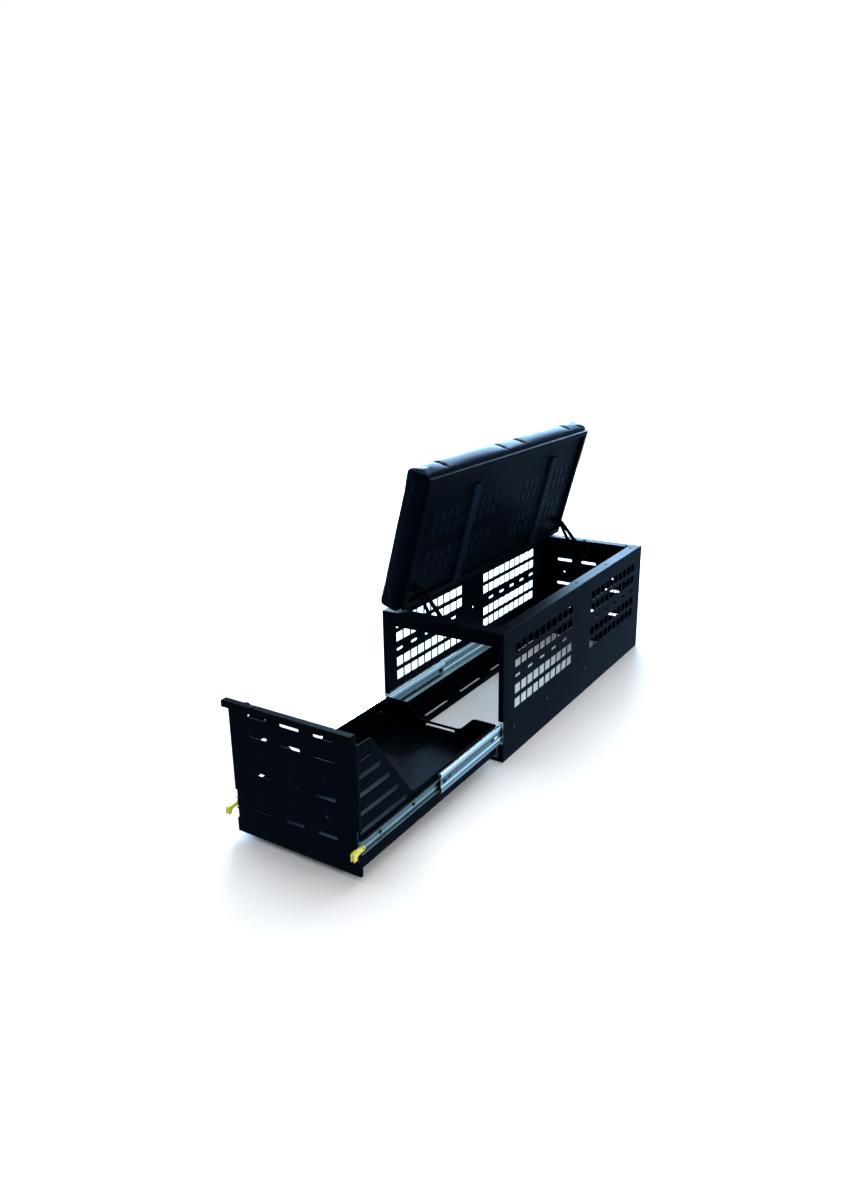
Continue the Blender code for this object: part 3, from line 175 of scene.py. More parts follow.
def powder_coat(name, paler):
    """Blue-black powder coat: fine peel, cloudy gloss, and edges painted paler as a painted
    highlight, also standing for metal a little bare at the folds.
    """
    f = Finish(name, {"Specular IOR Level": 0.014, "Specular Tint": (0.30, 0.62, 1.0, 1),
                      "Sheen Weight": 0.06, "Sheen Roughness": 0.28,
                      "Sheen Tint": (0.34, 0.62, 1.0, 1)})
    soft, edge = f.soft_edge(0.0012)
    broad, dust = f.cloud(2.6, 3.0), f.cloud(38.0, 4.0)
    peel = f.cloud(1100.0, 2.0) + 0.5 * f.cloud(420.0, 1.0)
    # paler over 1 gives a lit copy of the coat: painted light.
    deep, light, scuff = [(r * paler, g * paler, b * paler, 1) for r, g, b in (
        (0.0003, 0.0009, 0.0021), (0.0006, 0.0015, 0.0032), (0.0012, 0.0026, 0.0048))]
    body = f.tint(f.span(broad, 0.35, 0.7), deep, light)
    scuffed = f.tint(f.span(dust, 0.58, 0.8, 0.0, 0.35), body, scuff)
    # Edges tinted paler: a painted highlight, also standing for metal a little bare there.
    return f.wear(Base_Color=f.tint(edge * 0.5, scuffed, (0.045, 0.068, 0.092, 1)),
                  Roughness=f.span(broad + 0.3 * dust, 0.4, 1.0, 0.36, 0.52) - 0.08 * edge,
                  Normal=f.relief(peel, 0.22, 0.00012, soft))


# A slide's section from its lower lip to its upper one, as (share of its height, painted
# lightness).
# 0 is painted shade in a groove and 1 a painted highlight on a rolled lip.
SLIDE_PAINTED_LIGHT = (
    (0.00, 0.90), (0.04, 0.34), (0.17, 0.30), (0.19, 0.03), (0.235, 0.04),
    (0.26, 0.95), (0.34, 1.00), (0.39, 0.17), (0.60, 0.09), (0.74, 0.15),
    (0.755, 0.95), (0.785, 0.90), (0.80, 0.03), (0.835, 0.03), (0.855, 1.00),
)
BANDS_LOW, BANDS_HIGH = 0.0735, 0.1385          # heights where the bands start and end


def zinc_plate():
    """Zinc on rolled strip, drawn lengthwise, with painted highlights along the rolled lips and
    painted shade in the grooves between them.
    """
    f = Finish("bright_zinc", {"Metallic": 1.0})
    soft, edge = f.soft_edge(0.0007)
    drawn = f.cloud(1.0, 3.0, (700, 5, 700))
    fine = f.cloud(1.0, 2.0, (2600, 14, 2600))
    cloudy = f.cloud(16.0, 3.0)
    spot = f.node("ShaderNodeTexCoord", out="Object")
    height = f.node("ShaderNodeSeparateXYZ", sockets={0: spot}, out="Z")
    stops = [(at, (painted_light_and_grain, painted_light_and_grain, painted_light_and_grain, 1)) for at, painted_light_and_grain in SLIDE_PAINTED_LIGHT]
    painted_light_bands = f.node("ShaderNodeValToRGB", {"stops": stops},
                   {0: f.span(height, BANDS_LOW, BANDS_HIGH)})
    # Bands by height paint highlights on the lips and shade in the grooves; drawn lines and clouds
    # are grain.
    painted_light_and_grain = painted_light_bands + 0.30 * (drawn - 0.5) + 0.10 * (cloudy - 0.5)
    base = f.tint(painted_light_and_grain, (0.055, 0.085, 0.078, 1), (0.90, 1.00, 0.88, 1))
    # Edges tinted near white: a painted highlight.
    return f.wear(Base_Color=f.tint(edge * 0.7, base, (0.96, 1.0, 0.93, 1)),
                  Roughness=f.span(fine * 0.6 + cloudy * 0.4, 0.3, 0.7, 0.20, 0.38),
                  Normal=f.relief(fine + drawn, 0.25, 0.00006, soft))


def dark_fastener():
    """Blackened steel screws and bolts, turned."""
    f = Finish("dark_fastener", {"Metallic": 0.85})
    soft, edge = f.soft_edge(0.0004)
    speck = f.cloud(900.0, 3.0)
    base = f.tint(speck, (0.014, 0.017, 0.020, 1), (0.032, 0.037, 0.042, 1))
    # Edges tinted paler: a painted highlight.
    return f.wear(Base_Color=f.tint(edge * 0.3, base, (0.10, 0.115, 0.13, 1)),
                  Roughness=f.span(speck, 0.3, 0.7, 0.28, 0.46),
                  Normal=f.relief(speck, 0.15, 0.00005, soft))


def black_oxide():
    """Dull blackened steel of the rivet nuts."""
    f = Finish("black_oxide", {"Specular IOR Level": 0.004})
    soft, edge = f.soft_edge(0.0003)
    speck = f.cloud(700.0, 3.0)
    base = f.tint(speck, (0.0004, 0.0006, 0.0009, 1), (0.0016, 0.0020, 0.0026, 1))
    return f.wear(Base_Color=base,
                  Roughness=f.span(speck, 0.3, 0.7, 0.45, 0.62) - 0.05 * edge,
                  Normal=f.relief(speck, 0.12, 0.00004, soft))


def anodised_rail():
    """Dark anodised extrusion with faint die lines along X."""
    f = Finish("anodised_rail", {"Specular IOR Level": 0.006})
    soft, edge = f.soft_edge(0.0009)
    lines = f.cloud(1.0, 3.0, (4, 900, 900))
    blotch = f.cloud(22.0, 3.0)
    base = f.tint(blotch, (0.0008, 0.0010, 0.0013, 1), (0.0020, 0.0024, 0.0028, 1))
    # Edges tinted paler: a painted highlight along the rail.
    return f.wear(Base_Color=f.tint(edge * 0.25, base, (0.030, 0.033, 0.036, 1)),
                  Roughness=f.span(lines * 0.6 + blotch * 0.4, 0.3, 0.7, 0.34, 0.50),
                  Normal=f.relief(lines, 0.3, 0.00006, soft))


def yellow_lever():
    """Moulded plastic: eggshell grain, a little paler in flow marks from the gate, and paler on
    the edges as a painted highlight with some rubbing.
    """
    f = Finish("yellow_plastic", {"Specular IOR Level": 0.45})
    soft, edge = f.soft_edge(0.0008)
    shell, flow = f.cloud(1400.0, 2.0), f.cloud(60.0, 3.0)
    base = f.tint(f.span(flow, 0.3, 0.7), (0.72, 0.64, 0.075, 1), (0.82, 0.76, 0.13, 1))
    # Edges tinted paler: a painted highlight, with some rubbing.
    return f.wear(Base_Color=f.tint(edge * 0.5, base, (0.90, 0.87, 0.32, 1)),
                  Roughness=f.span(shell * 0.5 + flow * 0.5, 0.3, 0.7, 0.36, 0.52),
                  Normal=f.relief(shell, 0.2, 0.0001, soft))


def black_rubber():
    """Dull rubber of the buffers, catches and stop pads, with a little bloom."""
    f = Finish("black_rubber", {"Specular IOR Level": 0.3})
    soft, edge = f.soft_edge(0.0006)
    bloom = f.cloud(240.0, 4.0)
    return f.wear(Base_Color=f.tint(bloom, (0.006, 0.007, 0.008, 1), (0.016, 0.017, 0.019, 1)),
                  Roughness=f.span(bloom, 0.3, 0.7, 0.62, 0.82) - 0.05 * edge,
                  Normal=f.relief(bloom, 0.2, 0.0001, soft))


def navy_vinyl():
    """Cushion cover: pebbled leather grain, stretched smooth over the rolls."""
    f = Finish("navy_vinyl", {"Specular IOR Level": 0.030, "Specular Tint": (0.22, 0.50, 1.0, 1),
                              "Sheen Weight": 0.34, "Sheen Roughness": 0.30,
                              "Sheen Tint": (0.18, 0.46, 1.0, 1)})
    pebble = f.node("ShaderNodeTexVoronoi", {"feature": "SMOOTH_F1"},
                    {"Vector": f.place(), "Scale": 620.0, "Smoothness": 0.6})
    crease = f.cloud(240.0, 4.0)
    broad = f.cloud(5.0, 3.0)
    grain = f.span(pebble, 0.05, 0.65) * 0.7 + crease * 0.5
    base = f.tint(f.span(broad, 0.35, 0.7),
                  (0.0002, 0.0005, 0.0014, 1), (0.0004, 0.0009, 0.0024, 1))
    between = f.span(grain, 0.7, 0.2, 0.0, 0.5)
    return f.wear(Base_Color=f.tint(between, base, (0.0001, 0.0003, 0.0008, 1)),
                  Roughness=f.span(broad * 0.5 + crease * 0.5, 0.3, 0.7, 0.38, 0.54),
                  Normal=f.relief(grain, 0.35, 0.0004))


def sewing_thread():
    """Dark blue twisted thread of the cushion's stitches."""
    f = Finish("sewing_thread", {"Sheen Weight": 0.3, "Sheen Roughness": 0.4})
    ply = f.cloud(1.0, 2.0, (2200, 900, 2200))
    return f.wear(Base_Color=f.tint(ply, (0.012, 0.018, 0.030, 1), (0.030, 0.042, 0.062, 1)),
                  Roughness=f.span(ply, 0.3, 0.7, 0.5, 0.7),
                  Normal=f.relief(ply, 0.4, 0.0002))


def white_nylon():
    """Moulded nylon of the stop tabs."""
    f = Finish("white_nylon", {"Specular IOR Level": 0.5})
    soft, edge = f.soft_edge(0.0005)
    flow = f.cloud(300.0, 3.0)
    return f.wear(Base_Color=f.tint(flow, (0.70, 0.73, 0.74, 1), (0.80, 0.82, 0.82, 1)),
                  Roughness=f.span(flow, 0.3, 0.7, 0.35, 0.5) + 0.05 * edge,
                  Normal=f.relief(flow, 0.1, 0.0001, soft))


def studio_floor():
    """Plain pale paper under the cabinet."""
    f = Finish("studio_floor", {"Specular IOR Level": 0.2})
    haze = f.cloud(0.6, 2.0)
    return f.wear(Base_Color=f.tint(haze, (0.90, 0.90, 0.90, 1), (0.92, 0.92, 0.92, 1)),
                  Roughness=f.span(haze, 0, 1, 0.7, 0.8))


# The straps' coat is a paler copy: painted light on faces that stand in more light than the pan.
POWDER, STRAP_PAINTED_LIT = powder_coat("powder_black", 1.0), powder_coat("powder_painted_lit", 7.0)
ZINC, FASTENER, OXIDE, RAIL = zinc_plate(), dark_fastener(), black_oxide(), anodised_rail()
YELLOW, RUBBER, NYLON = yellow_lever(), black_rubber(), white_nylon()
VINYL, THREAD = navy_vinyl(), sewing_thread()

# The first row that fits the start of a piece's name gives its finish.
PIECE_FINISHES = (
    (("slide_bolt", "slide_screw", "handle_stud"), FASTENER),
    (("slide_catch", "lid_buffer"), RUBBER),
    (("stay_pin", "rocker_pin", "crank_pin", "lid_pin", "lever_pin"), FASTENER),
    (("slide_",), ZINC),
    (("drawer_handle",), RAIL),
    (("lock_lever",), YELLOW),
    (("cushion",), VINYL),
    (("lid_strap",), STRAP_PAINTED_LIT),
    (("",), POWDER),
)
for node_name, node in nodes.items():
    finish = next(look for starts, look in PIECE_FINISHES if node_name.startswith(starts))
    node.data.materials.clear()
    node.data.materials.append(finish)


# ---------------------------------------------------------------- making pieces
PIECE_SHARP, PATTERN_SHARP, PLATE_SHARP = 35, 40, 50    # degrees from which an edge stays sharp


def shaded(made, degrees):
    """Smooth faces, with edges from this angle on left sharp."""
    made.data.shade_smooth()
    made.data.set_sharp_from_angle(angle=math.radians(degrees))
    return made


def piece(name, verts, faces, look):
    """A piece from its points and faces, with one finish."""
    mesh = bpy.data.meshes.new(name)
    mesh.from_pydata([tuple(v) for v in verts], [], faces)
    mesh.materials.append(look)
    made = bpy.data.objects.new(name, mesh)
    bpy.context.scene.collection.objects.link(made)
    bm = bmesh.new()
    bm.from_mesh(mesh)
    bmesh.ops.remove_doubles(bm, verts=bm.verts, dist=1e-6)
    bmesh.ops.recalc_face_normals(bm, faces=bm.faces)
    bm.to_mesh(mesh)
    bm.free()
    return shaded(made, PIECE_SHARP)


def baked(made):
    """The object's modifiers worked into a plain mesh."""
    graph = bpy.context.evaluated_depsgraph_get()
    mesh = bpy.data.meshes.new_from_object(made.evaluated_get(graph), depsgraph=graph)
    made.modifiers.clear()
    made.data = mesh
    return made


class Pattern:
    """A Geometry Nodes tree with named inputs, run on the points or lines of a mesh."""

    def __init__(self, name, sizes):
        self.tree = bpy.data.node_groups.new(name, "GeometryNodeTree")
        face = self.tree.interface
        face.new_socket("Geometry", in_out="INPUT", socket_type="NodeSocketGeometry")
        self.ids = {}
        for key, value in sizes.items():
            kind = "NodeSocketInt" if isinstance(value, int) else "NodeSocketFloat"
            self.ids[key] = face.new_socket(key, in_out="INPUT", socket_type=kind).identifier
        self.ids["Finish"] = face.new_socket(
            "Finish", in_out="INPUT", socket_type="NodeSocketMaterial").identifier
        face.new_socket("Geometry", in_out="OUTPUT", socket_type="NodeSocketGeometry")
        self.sizes = sizes
        self.given = self.tree.nodes.new("NodeGroupInput")
        self.start = self.given.outputs["Geometry"]

    def node(self, kind, settings=None, sockets=None, out=0):
        made = self.tree.nodes.new(kind)
        for key, value in (settings or {}).items():
            setattr(made, key, value)
        for key, value in (sockets or {}).items():
            if isinstance(value, bpy.types.NodeSocket):
                self.tree.links.new(value, made.inputs[key])
            else:
                made.inputs[key].default_value = value
        return made.outputs[out]

    def size(self, key):
        return self.given.outputs[key]

    def spread(self, points, shape, turn):
        """One shape on each point, made real, with the finish."""
        laid = self.node("GeometryNodeInstanceOnPoints", sockets={
            "Points": points, "Instance": shape, "Rotation": turn})
        self.end(self.node("GeometryNodeRealizeInstances", sockets={"Geometry": laid}))

    def times(self, first, second):
        return self.node("ShaderNodeMath", {"operation": "MULTIPLY"}, {0: first, 1: second})

    def moved_up(self, shape, way):
        up = self.node("ShaderNodeCombineXYZ", sockets={2: way})
        return self.node("GeometryNodeTransform", sockets={"Geometry": shape, "Translation": up})

    def line(self):
        """The given lines as curves."""
        return self.node("GeometryNodeMeshToCurve", sockets={"Mesh": self.start})

    def even_points(self):
        """Points one pitch apart along the given lines."""
        return self.node("GeometryNodeResampleCurve", {"mode": "LENGTH"},
                         {"Curve": self.line(), "Length": self.size("Pitch")})

    def turned(self, way):
        """The turn that sets a shape's Z along this direction."""
        return self.node("FunctionNodeAlignRotationToVector", {"axis": "Z"}, {"Vector": way})

    def end(self, real):
        """Gives the real geometry its finish and passes it on."""
        done = self.node("GeometryNodeSetMaterial", sockets={
            "Geometry": real, "Material": self.size("Finish")})
        out = self.tree.nodes.new("NodeGroupOutput")
        self.tree.links.new(done, out.inputs["Geometry"])

    def lay(self, name, verts, edges, look, facing=None, **sizes):
        """Runs the tree on the given points; facing is each point's direction."""
        mesh = bpy.data.meshes.new(name)
        mesh.from_pydata([tuple(v) for v in verts], edges, [])
        if facing:
            way = mesh.attributes.new("facing", "FLOAT_VECTOR", "POINT")
            way.data.foreach_set("vector", [c for v in facing for c in v])
        made = bpy.data.objects.new(name, mesh)
        bpy.context.scene.collection.objects.link(made)
        run = made.modifiers.new(self.tree.name, "NODES")
        run.node_group = self.tree
        run[self.ids["Finish"]] = look
        for key, value in {**self.sizes, **sizes}.items():
            run[self.ids[key]] = value
        return shaded(baked(made), PATTERN_SHARP)


def stitch_pattern():
    """Oval stitches along each line, thinner towards both ends."""
    p = Pattern("stitch_run", {"Pitch": 0.0065, "Length": 0.0042, "Thick": 0.0009})
    bead = p.node("GeometryNodeMeshUVSphere", sockets={"Segments": 6, "Rings": 4, "Radius": 0.5})
    scale = p.node("ShaderNodeCombineXYZ", sockets={
        0: p.size("Thick"), 1: p.size("Thick"), 2: p.size("Length")})
    bead = p.node("GeometryNodeTransform", sockets={"Geometry": bead, "Scale": scale})
    p.spread(p.even_points(), bead, p.turned(p.node("GeometryNodeInputTangent")))
    return p


def head_pattern():
    """Screw heads with a chamfered rim and a hexagon socket, on a shank behind the face."""
    p = Pattern("socket_heads", {"Radius": 0.0065, "Height": 0.003, "Socket": 0.0030,
                                 "Depth": 0.0018, "Shank": 0.003, "Reach": 0.006, "Rim": 0.8})
    head = p.node("GeometryNodeMeshCone", sockets={
        "Vertices": 20, "Side Segments": 1, "Radius Top": p.times(p.size("Radius"), p.size("Rim")),
        "Radius Bottom": p.size("Radius"), "Depth": p.size("Height")})
    bit = p.node("GeometryNodeMeshCylinder", sockets={
        "Vertices": 6, "Radius": p.size("Socket"), "Depth": p.times(p.size("Depth"), 2.0)})
    bit = p.moved_up(bit, p.size("Height"))
    head = p.node("GeometryNodeMeshBoolean", {"operation": "DIFFERENCE", "solver": "EXACT"},
                  {"Mesh 1": head, "Mesh 2": bit})
    shank = p.node("GeometryNodeMeshCylinder", sockets={
        "Vertices": 12, "Radius": p.size("Shank"), "Depth": p.size("Reach")})
    shank = p.moved_up(shank, p.times(p.size("Reach"), -0.5))
    both = p.tree.nodes.new("GeometryNodeJoinGeometry")
    p.tree.links.new(head, both.inputs[0])
    p.tree.links.new(shank, both.inputs[0])
    way = p.node("GeometryNodeInputNamedAttribute", {"data_type": "FLOAT_VECTOR"},
                 {"Name": "facing"})
    p.spread(p.start, both.outputs[0], p.turned(way))
    return p


def ball_pattern():
    """A row of bearing balls along each line."""
    p = Pattern("ball_rows", {"Pitch": 0.0125, "Radius": 0.0016})
    ball = p.node("GeometryNodeMeshUVSphere", sockets={
        "Segments": 8, "Rings": 6, "Radius": p.size("Radius")})
    p.spread(p.even_points(), ball, (0, 0, 0))
    return p


def welt_pattern():
    """Round piping laid along each line."""
    p = Pattern("welt_run", {"Radius": 0.0016})
    section = p.node("GeometryNodeCurvePrimitiveCircle", sockets={
        "Resolution": 8, "Radius": p.size("Radius")})
    p.end(p.node("GeometryNodeCurveToMesh", sockets={
        "Curve": p.line(), "Profile Curve": section, "Fill Caps": True}))
    return p


def nut_pattern():
    """Flanged rivet nuts, their thin rims on the face and their sleeves in the hole below it."""
    p = Pattern("rivet_nuts", {"Rim": 0.0080, "Sleeve": 0.0048, "Bore": 0.0030,
                               "Thick": 0.0002, "Deep": 0.0080, "Drilled": 0.05})
    whole = p.node("GeometryNodeMeshBoolean", {"operation": "UNION", "solver": "EXACT"})
    for radius, depth, side in (("Rim", "Thick", 0.5), ("Sleeve", "Deep", -0.5)):
        disc = p.node("GeometryNodeMeshCylinder", sockets={
            "Vertices": 24, "Radius": p.size(radius), "Depth": p.size(depth)})
        disc = p.moved_up(disc, p.times(p.size(depth), side))
        p.tree.links.new(disc, whole.node.inputs["Mesh 2"])
    bore = p.node("GeometryNodeMeshCylinder", sockets={
        "Vertices": 16, "Radius": p.size("Bore"), "Depth": p.size("Drilled")})
    nut = p.node("GeometryNodeMeshBoolean", {"operation": "DIFFERENCE", "solver": "EXACT"},
                 {"Mesh 1": whole, "Mesh 2": bore})
    p.spread(p.start, nut, (0, 0, 0))
    return p


STITCHES, HEADS, BALLS = stitch_pattern(), head_pattern(), ball_pattern()
WELTS, NUTS = welt_pattern(), nut_pattern()

# ---------------------------------------------------------------- cushion
CUSHION_HALF = Vector((0.2545, 0.6460, 0.0402))  # half sizes before it swells
REST_GAP = 0.0003                               # between the cushion and its pan
CUSHION_BASE = LID_CORNER.z + LID_RIM + REST_GAP
CUSHION_MIDDLE = Vector((0, CABINET_LENGTH / 2 + CABINET_FRONT, CUSHION_BASE + CUSHION_HALF.z))
CUSHION_ROLL = Vector((0.0210, 0.0240, 0.0402))  # how far each edge is rounded, on X, Y and Z
CUSHION_FULL = 4.4                              # how square the rolls are; 2 is an ellipse
CUSHION_CELLS = (52, 160, 12)
CUSHION_CROWN = 0.005                           # how far the top rises at its middle
SWELL_PRESSURE, SWELL_STEPS, SWELL_CAP = 4.0, 20, 0.006
HELD_HEIGHT = 0.002                             # the cover is held to this height
SEAM_GRIP, SEAM_HOLD = 0.85, 0.005              # how firmly a seam is held, and how far from it
SEAMS = [CABINET_FRONT + CABINET_LENGTH * share for share in (0.108, 0.4405, 0.5595, 0.892)]
SEAM_DIP, SEAM_REACH = 0.0065, 0.0075
SEAM_SWEEP, SEAM_CREASE = 0.65, 0.35            # shares of the dip: a broad one, a sharp one
CREASE_REACH = SEAM_REACH * 0.28
PUCKER_DEPTH, PUCKER_PLACE, PUCKER_REACH = 0.0007, 0.009, 0.008
PUCKERS_ALONG, PUCKERS_UP = 330, 260            # their waves' pace on X and Z
PUCKER_STRAY, STRAY_PACE = 2.2, 18
COVER_WAVE, WAVE_PACE = 0.0012, (9, 5, 14)      # slow unevenness of the whole cover
SEWN_FROM, SEWN_FULL = 0.004, 0.020             # sewing fades in over this height
WELT_INSET, WELT_RADIUS = 0.0150, 0.0016        # piping round each end of the cover
WELT_DIP, WELT_REACH = 0.0022, 0.0045
WELTS_AT = [CUSHION_MIDDLE.y + side * (CUSHION_HALF.y - WELT_INSET) for side in (-1, 1)]
STITCH_GAP = 0.0070                             # stitch line's distance from its seam
STITCH_LIFT, WELT_LIFT = 0.0001, 0.0004         # height of their middle over the cover


def stuffed_block():
    """A box of even cells with square-set rolls at its edges, crowned on top."""
    spots, faces = {}, []

    def corner(i, j, k):
        if (i, j, k) not in spots:
            spots[i, j, k] = len(spots)
        return spots[i, j, k]

    n = CUSHION_CELLS
    for axis in range(3):
        a, b = [m for m in range(3) if m != axis]
        for end in (0, n[axis]):
            for i in range(n[a]):
                for j in range(n[b]):
                    ring = []
                    for di, dj in ((0, 0), (1, 0), (1, 1), (0, 1)):
                        at = [0, 0, 0]
                        at[axis], at[a], at[b] = end, i + di, j + dj
                        ring.append(corner(*at))
                    faces.append(ring)
    verts = []
    for cell in spots:
        share = [2 * cell[m] / n[m] - 1 for m in range(3)]
        p = Vector(share[m] * CUSHION_HALF[m] for m in range(3))
        core = Vector(max(-h + r, min(h - r, c)) for c, h, r in zip(p, CUSHION_HALF, CUSHION_ROLL))
        out = Vector((c - m) / r for c, m, r in zip(p, core, CUSHION_ROLL))
        reach = sum(abs(c) ** CUSHION_FULL for c in out) ** (1 / CUSHION_FULL)
        p = core + Vector(c / reach * r for c, r in zip(out, CUSHION_ROLL))
        if p.z > 0:
            p.z += CUSHION_CROWN * p.z / CUSHION_HALF.z * (1 - share[0] ** 2) * (1 - share[1] ** 8)
        verts.append(CUSHION_MIDDLE + p)
    return verts, faces


def swollen(made):
    """Blows the cover up with its base held down, and keeps each point near where it began."""
    mesh = made.data
    before = [v.co.copy() for v in mesh.vertices]
    hold = made.vertex_groups.new(name="base")
    for v in mesh.vertices:
        grip = 1.0 if v.co.z < CUSHION_BASE + HELD_HEIGHT else 0.0
        if min(abs(v.co.y - y) for y in SEAMS) < SEAM_HOLD:
            grip = max(grip, SEAM_GRIP)
        if grip:
            hold.add([v.index], grip, "REPLACE")
    cloth = made.modifiers.new("cover", "CLOTH")
    cloth.settings.use_pressure = True
    cloth.settings.uniform_pressure_force = SWELL_PRESSURE
    cloth.settings.vertex_group_mass = "base"
    cloth.settings.effector_weights.gravity = 0
    cloth.point_cache.frame_start, cloth.point_cache.frame_end = 1, SWELL_STEPS
    for step in range(1, SWELL_STEPS + 1):
        bpy.context.scene.frame_set(step)
    baked(made)
    bpy.context.scene.frame_set(1)
    for v, start in zip(made.data.vertices, before):
        way = v.co - start
        far = way.length
        if far > 0:
            v.co = start + way / far * SWELL_CAP * math.tanh(far / SWELL_CAP)
        v.co.z = max(v.co.z, CUSHION_BASE)
    made.vertex_groups.clear()


def sewn(made):
    """Draws the cover in along its cross seams and welts, with short puckers by the seams."""
    mesh = made.data
    normals = [v.normal.copy() for v in mesh.vertices]
    for v, n in zip(mesh.vertices, normals):
        lift = min(1.0, max(0.0, (v.co.z - CUSHION_BASE - SEWN_FROM) / SEWN_FULL))
        if lift == 0:
            continue
        pull = 0.0
        for y in SEAMS:
            off = abs(v.co.y - y)
            if off < 5 * SEAM_REACH:
                pull += SEAM_DIP * math.exp(-(off / SEAM_REACH) ** 2) * SEAM_SWEEP
                pull += SEAM_DIP * math.exp(-off / CREASE_REACH) * SEAM_CREASE
                run = v.co.x * PUCKERS_ALONG + v.co.z * PUCKERS_UP
                run += PUCKER_STRAY * noise.noise(v.co * STRAY_PACE)
                near = math.exp(-((off - PUCKER_PLACE) / PUCKER_REACH) ** 2)
                pull += PUCKER_DEPTH * math.sin(run) * near
        for y in WELTS_AT:
            pull += WELT_DIP * math.exp(-((v.co.y - y) / WELT_REACH) ** 2)
        pull += COVER_WAVE * noise.noise(Vector(c * pace for c, pace in zip(v.co, WAVE_PACE)))
        v.co -= n * pull * lift


# A line round the cover is felt out from an oval well outside it: from the sides towards
# the middle, and from above wherever the oval is more than FROM_ABOVE over or under it.
FEELERS, FIRST_FEELER, FEELER_SWEEP = 90, -22, 224      # how many, and degrees round the oval
FEELER_WIDE, FEELER_HIGH = 0.6, 0.25
FROM_ABOVE = 0.09
LINE_END_HEIGHT, LINE_STEP = 0.006, 0.0035      # its ends over the base, its points' distance


def cover_line(tree, y, lift):
    """Points round the cover over its top and sides, on the plane at y."""
    points = []
    for k in range(FEELERS):
        t = math.radians(FIRST_FEELER + FEELER_SWEEP * k / (FEELERS - 1))
        out = Vector((math.cos(t) * FEELER_WIDE, 0, math.sin(t) * FEELER_HIGH))
        start = Vector((0, y, CUSHION_MIDDLE.z)) + out
        way = -out.normalized()
        if abs(out.z) > FROM_ABOVE:
            start = Vector((math.cos(t) * (CUSHION_HALF.x + 0.002), y, CUSHION_MIDDLE.z + 0.2))
            way = Vector((0, 0, -1))
        hit, normal, _, _ = tree.ray_cast(start, way)
        if hit and hit.z > CUSHION_BASE + LINE_END_HEIGHT:
            points.append(hit + normal * lift)
    kept = [points[0]]
    for p in points[1:]:
        if (p - kept[-1]).length > LINE_STEP:
            kept.append(p)
    return kept


def cover_lines(tree, places, lift):
    """The lines round the cover at these places, as points and edges."""
    points, edges = [], []
    for y in places:
        run = cover_line(tree, y, lift)
        edges += [(len(points) + k, len(points) + k + 1) for k in range(len(run) - 1)]
        points += run
    return points, edges


def make_cushion():
    verts, faces = stuffed_block()
    cushion = piece("cushion_cover", verts, faces, VINYL)
    swollen(cushion)
    finer = cushion.modifiers.new("finer", "SUBSURF")
    finer.levels = finer.render_levels = 1
    baked(cushion)
    sewn(cushion)
    cushion.data.shade_smooth()
    bm = bmesh.new()
    bm.from_mesh(cushion.data)
    tree = BVHTree.FromBMesh(bm)
    bm.free()
    points, edges = cover_lines(
        tree, [y + side * STITCH_GAP for y in SEAMS for side in (-1, 1)], STITCH_LIFT)
    stitches = STITCHES.lay("cushion_stitches", points, edges, THREAD)
    points, edges = cover_lines(tree, WELTS_AT, WELT_LIFT)
    welts = WELTS.lay("cushion_welts", points, edges, VINYL, Radius=WELT_RADIUS)
    for made in (cushion, stitches, welts):
        made.data.transform(LID_OPEN)
        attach(made, "lid")
    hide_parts("cushion")


make_cushion()

# ---------------------------------------------------------------- bolts and screws
# kind, body, head's radius and height, shank's radius and reach
FASTENERS = (
    ("slide_bolt", "cabinet", 0.0065, 0.0030, 0.0029, 0.0048),
    ("slide_screw", "drawer", 0.0060, 0.0028, 0.0024, 0.0042),
)
SOCKET_WIDE, SOCKET_DEEP = 0.46, 0.6            # shares of the head's radius and height
ROUND_END, END_HEIGHT = 0.0036, 0.0014          # screw ends inside the drawer
WALL_INSIDE = 0.2163                            # a drawer wall's inside, from the middle
NUT_INSET, NUT_START, NUT_PITCH, NUTS_A_SIDE = 0.0264, 0.060, 0.285, 5


def side_of(name):
    return 1 if "right" in name else -1


def make_fasteners():
    for kind, body, radius, height, shank, reach in FASTENERS:
        names = sorted(n for n in nodes if n.startswith(kind))
        points, facing = [], []
        for name in names:
            low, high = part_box(name)
            sign = side_of(name)
            face = (high.x if sign > 0 else low.x) - sign * height
            points.append((face, (low.y + high.y) / 2, (low.z + high.z) / 2))
            facing.append((sign, 0, 0))
        heads = HEADS.lay(kind + "_heads", points, [], FASTENER, facing,
                          Radius=radius, Height=height, Socket=radius * SOCKET_WIDE,
                          Depth=height * SOCKET_DEEP, Shank=shank, Reach=reach)
        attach(heads, body)
        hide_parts(*names)


def make_screw_ends():
    """Bright screw ends on the inside of both drawer walls."""
    points, facing = [], []
    for name in sorted(n for n in nodes if n.startswith("slide_screw")):
        low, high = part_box(name)
        sign = side_of(name)
        points.append((sign * (WALL_INSIDE - 0.0001 - END_HEIGHT / 2),
                       (low.y + high.y) / 2, (low.z + high.z) / 2))
        facing.append((-sign, 0, 0))
    ends = HEADS.lay("drawer_screw_ends", points, [], ZINC, facing,
                     Radius=ROUND_END, Height=END_HEIGHT,
                     Socket=0.0008, Depth=0.0006, Shank=0.0010, Reach=0.0002)
    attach(ends, "drawer")


def make_flange_nuts():
    """Rivet nuts along both top flanges."""
    points = [(sign * (CABINET_WIDTH / 2 - NUT_INSET),
               CABINET_FRONT + NUT_START + k * NUT_PITCH, CABINET_HEIGHT)
              for sign in (-1, 1) for k in range(NUTS_A_SIDE)]
    nuts = NUTS.lay("flange_nuts", points, [], OXIDE)
    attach(nuts, "cabinet")


make_fasteners()
make_screw_ends()
make_flange_nuts()

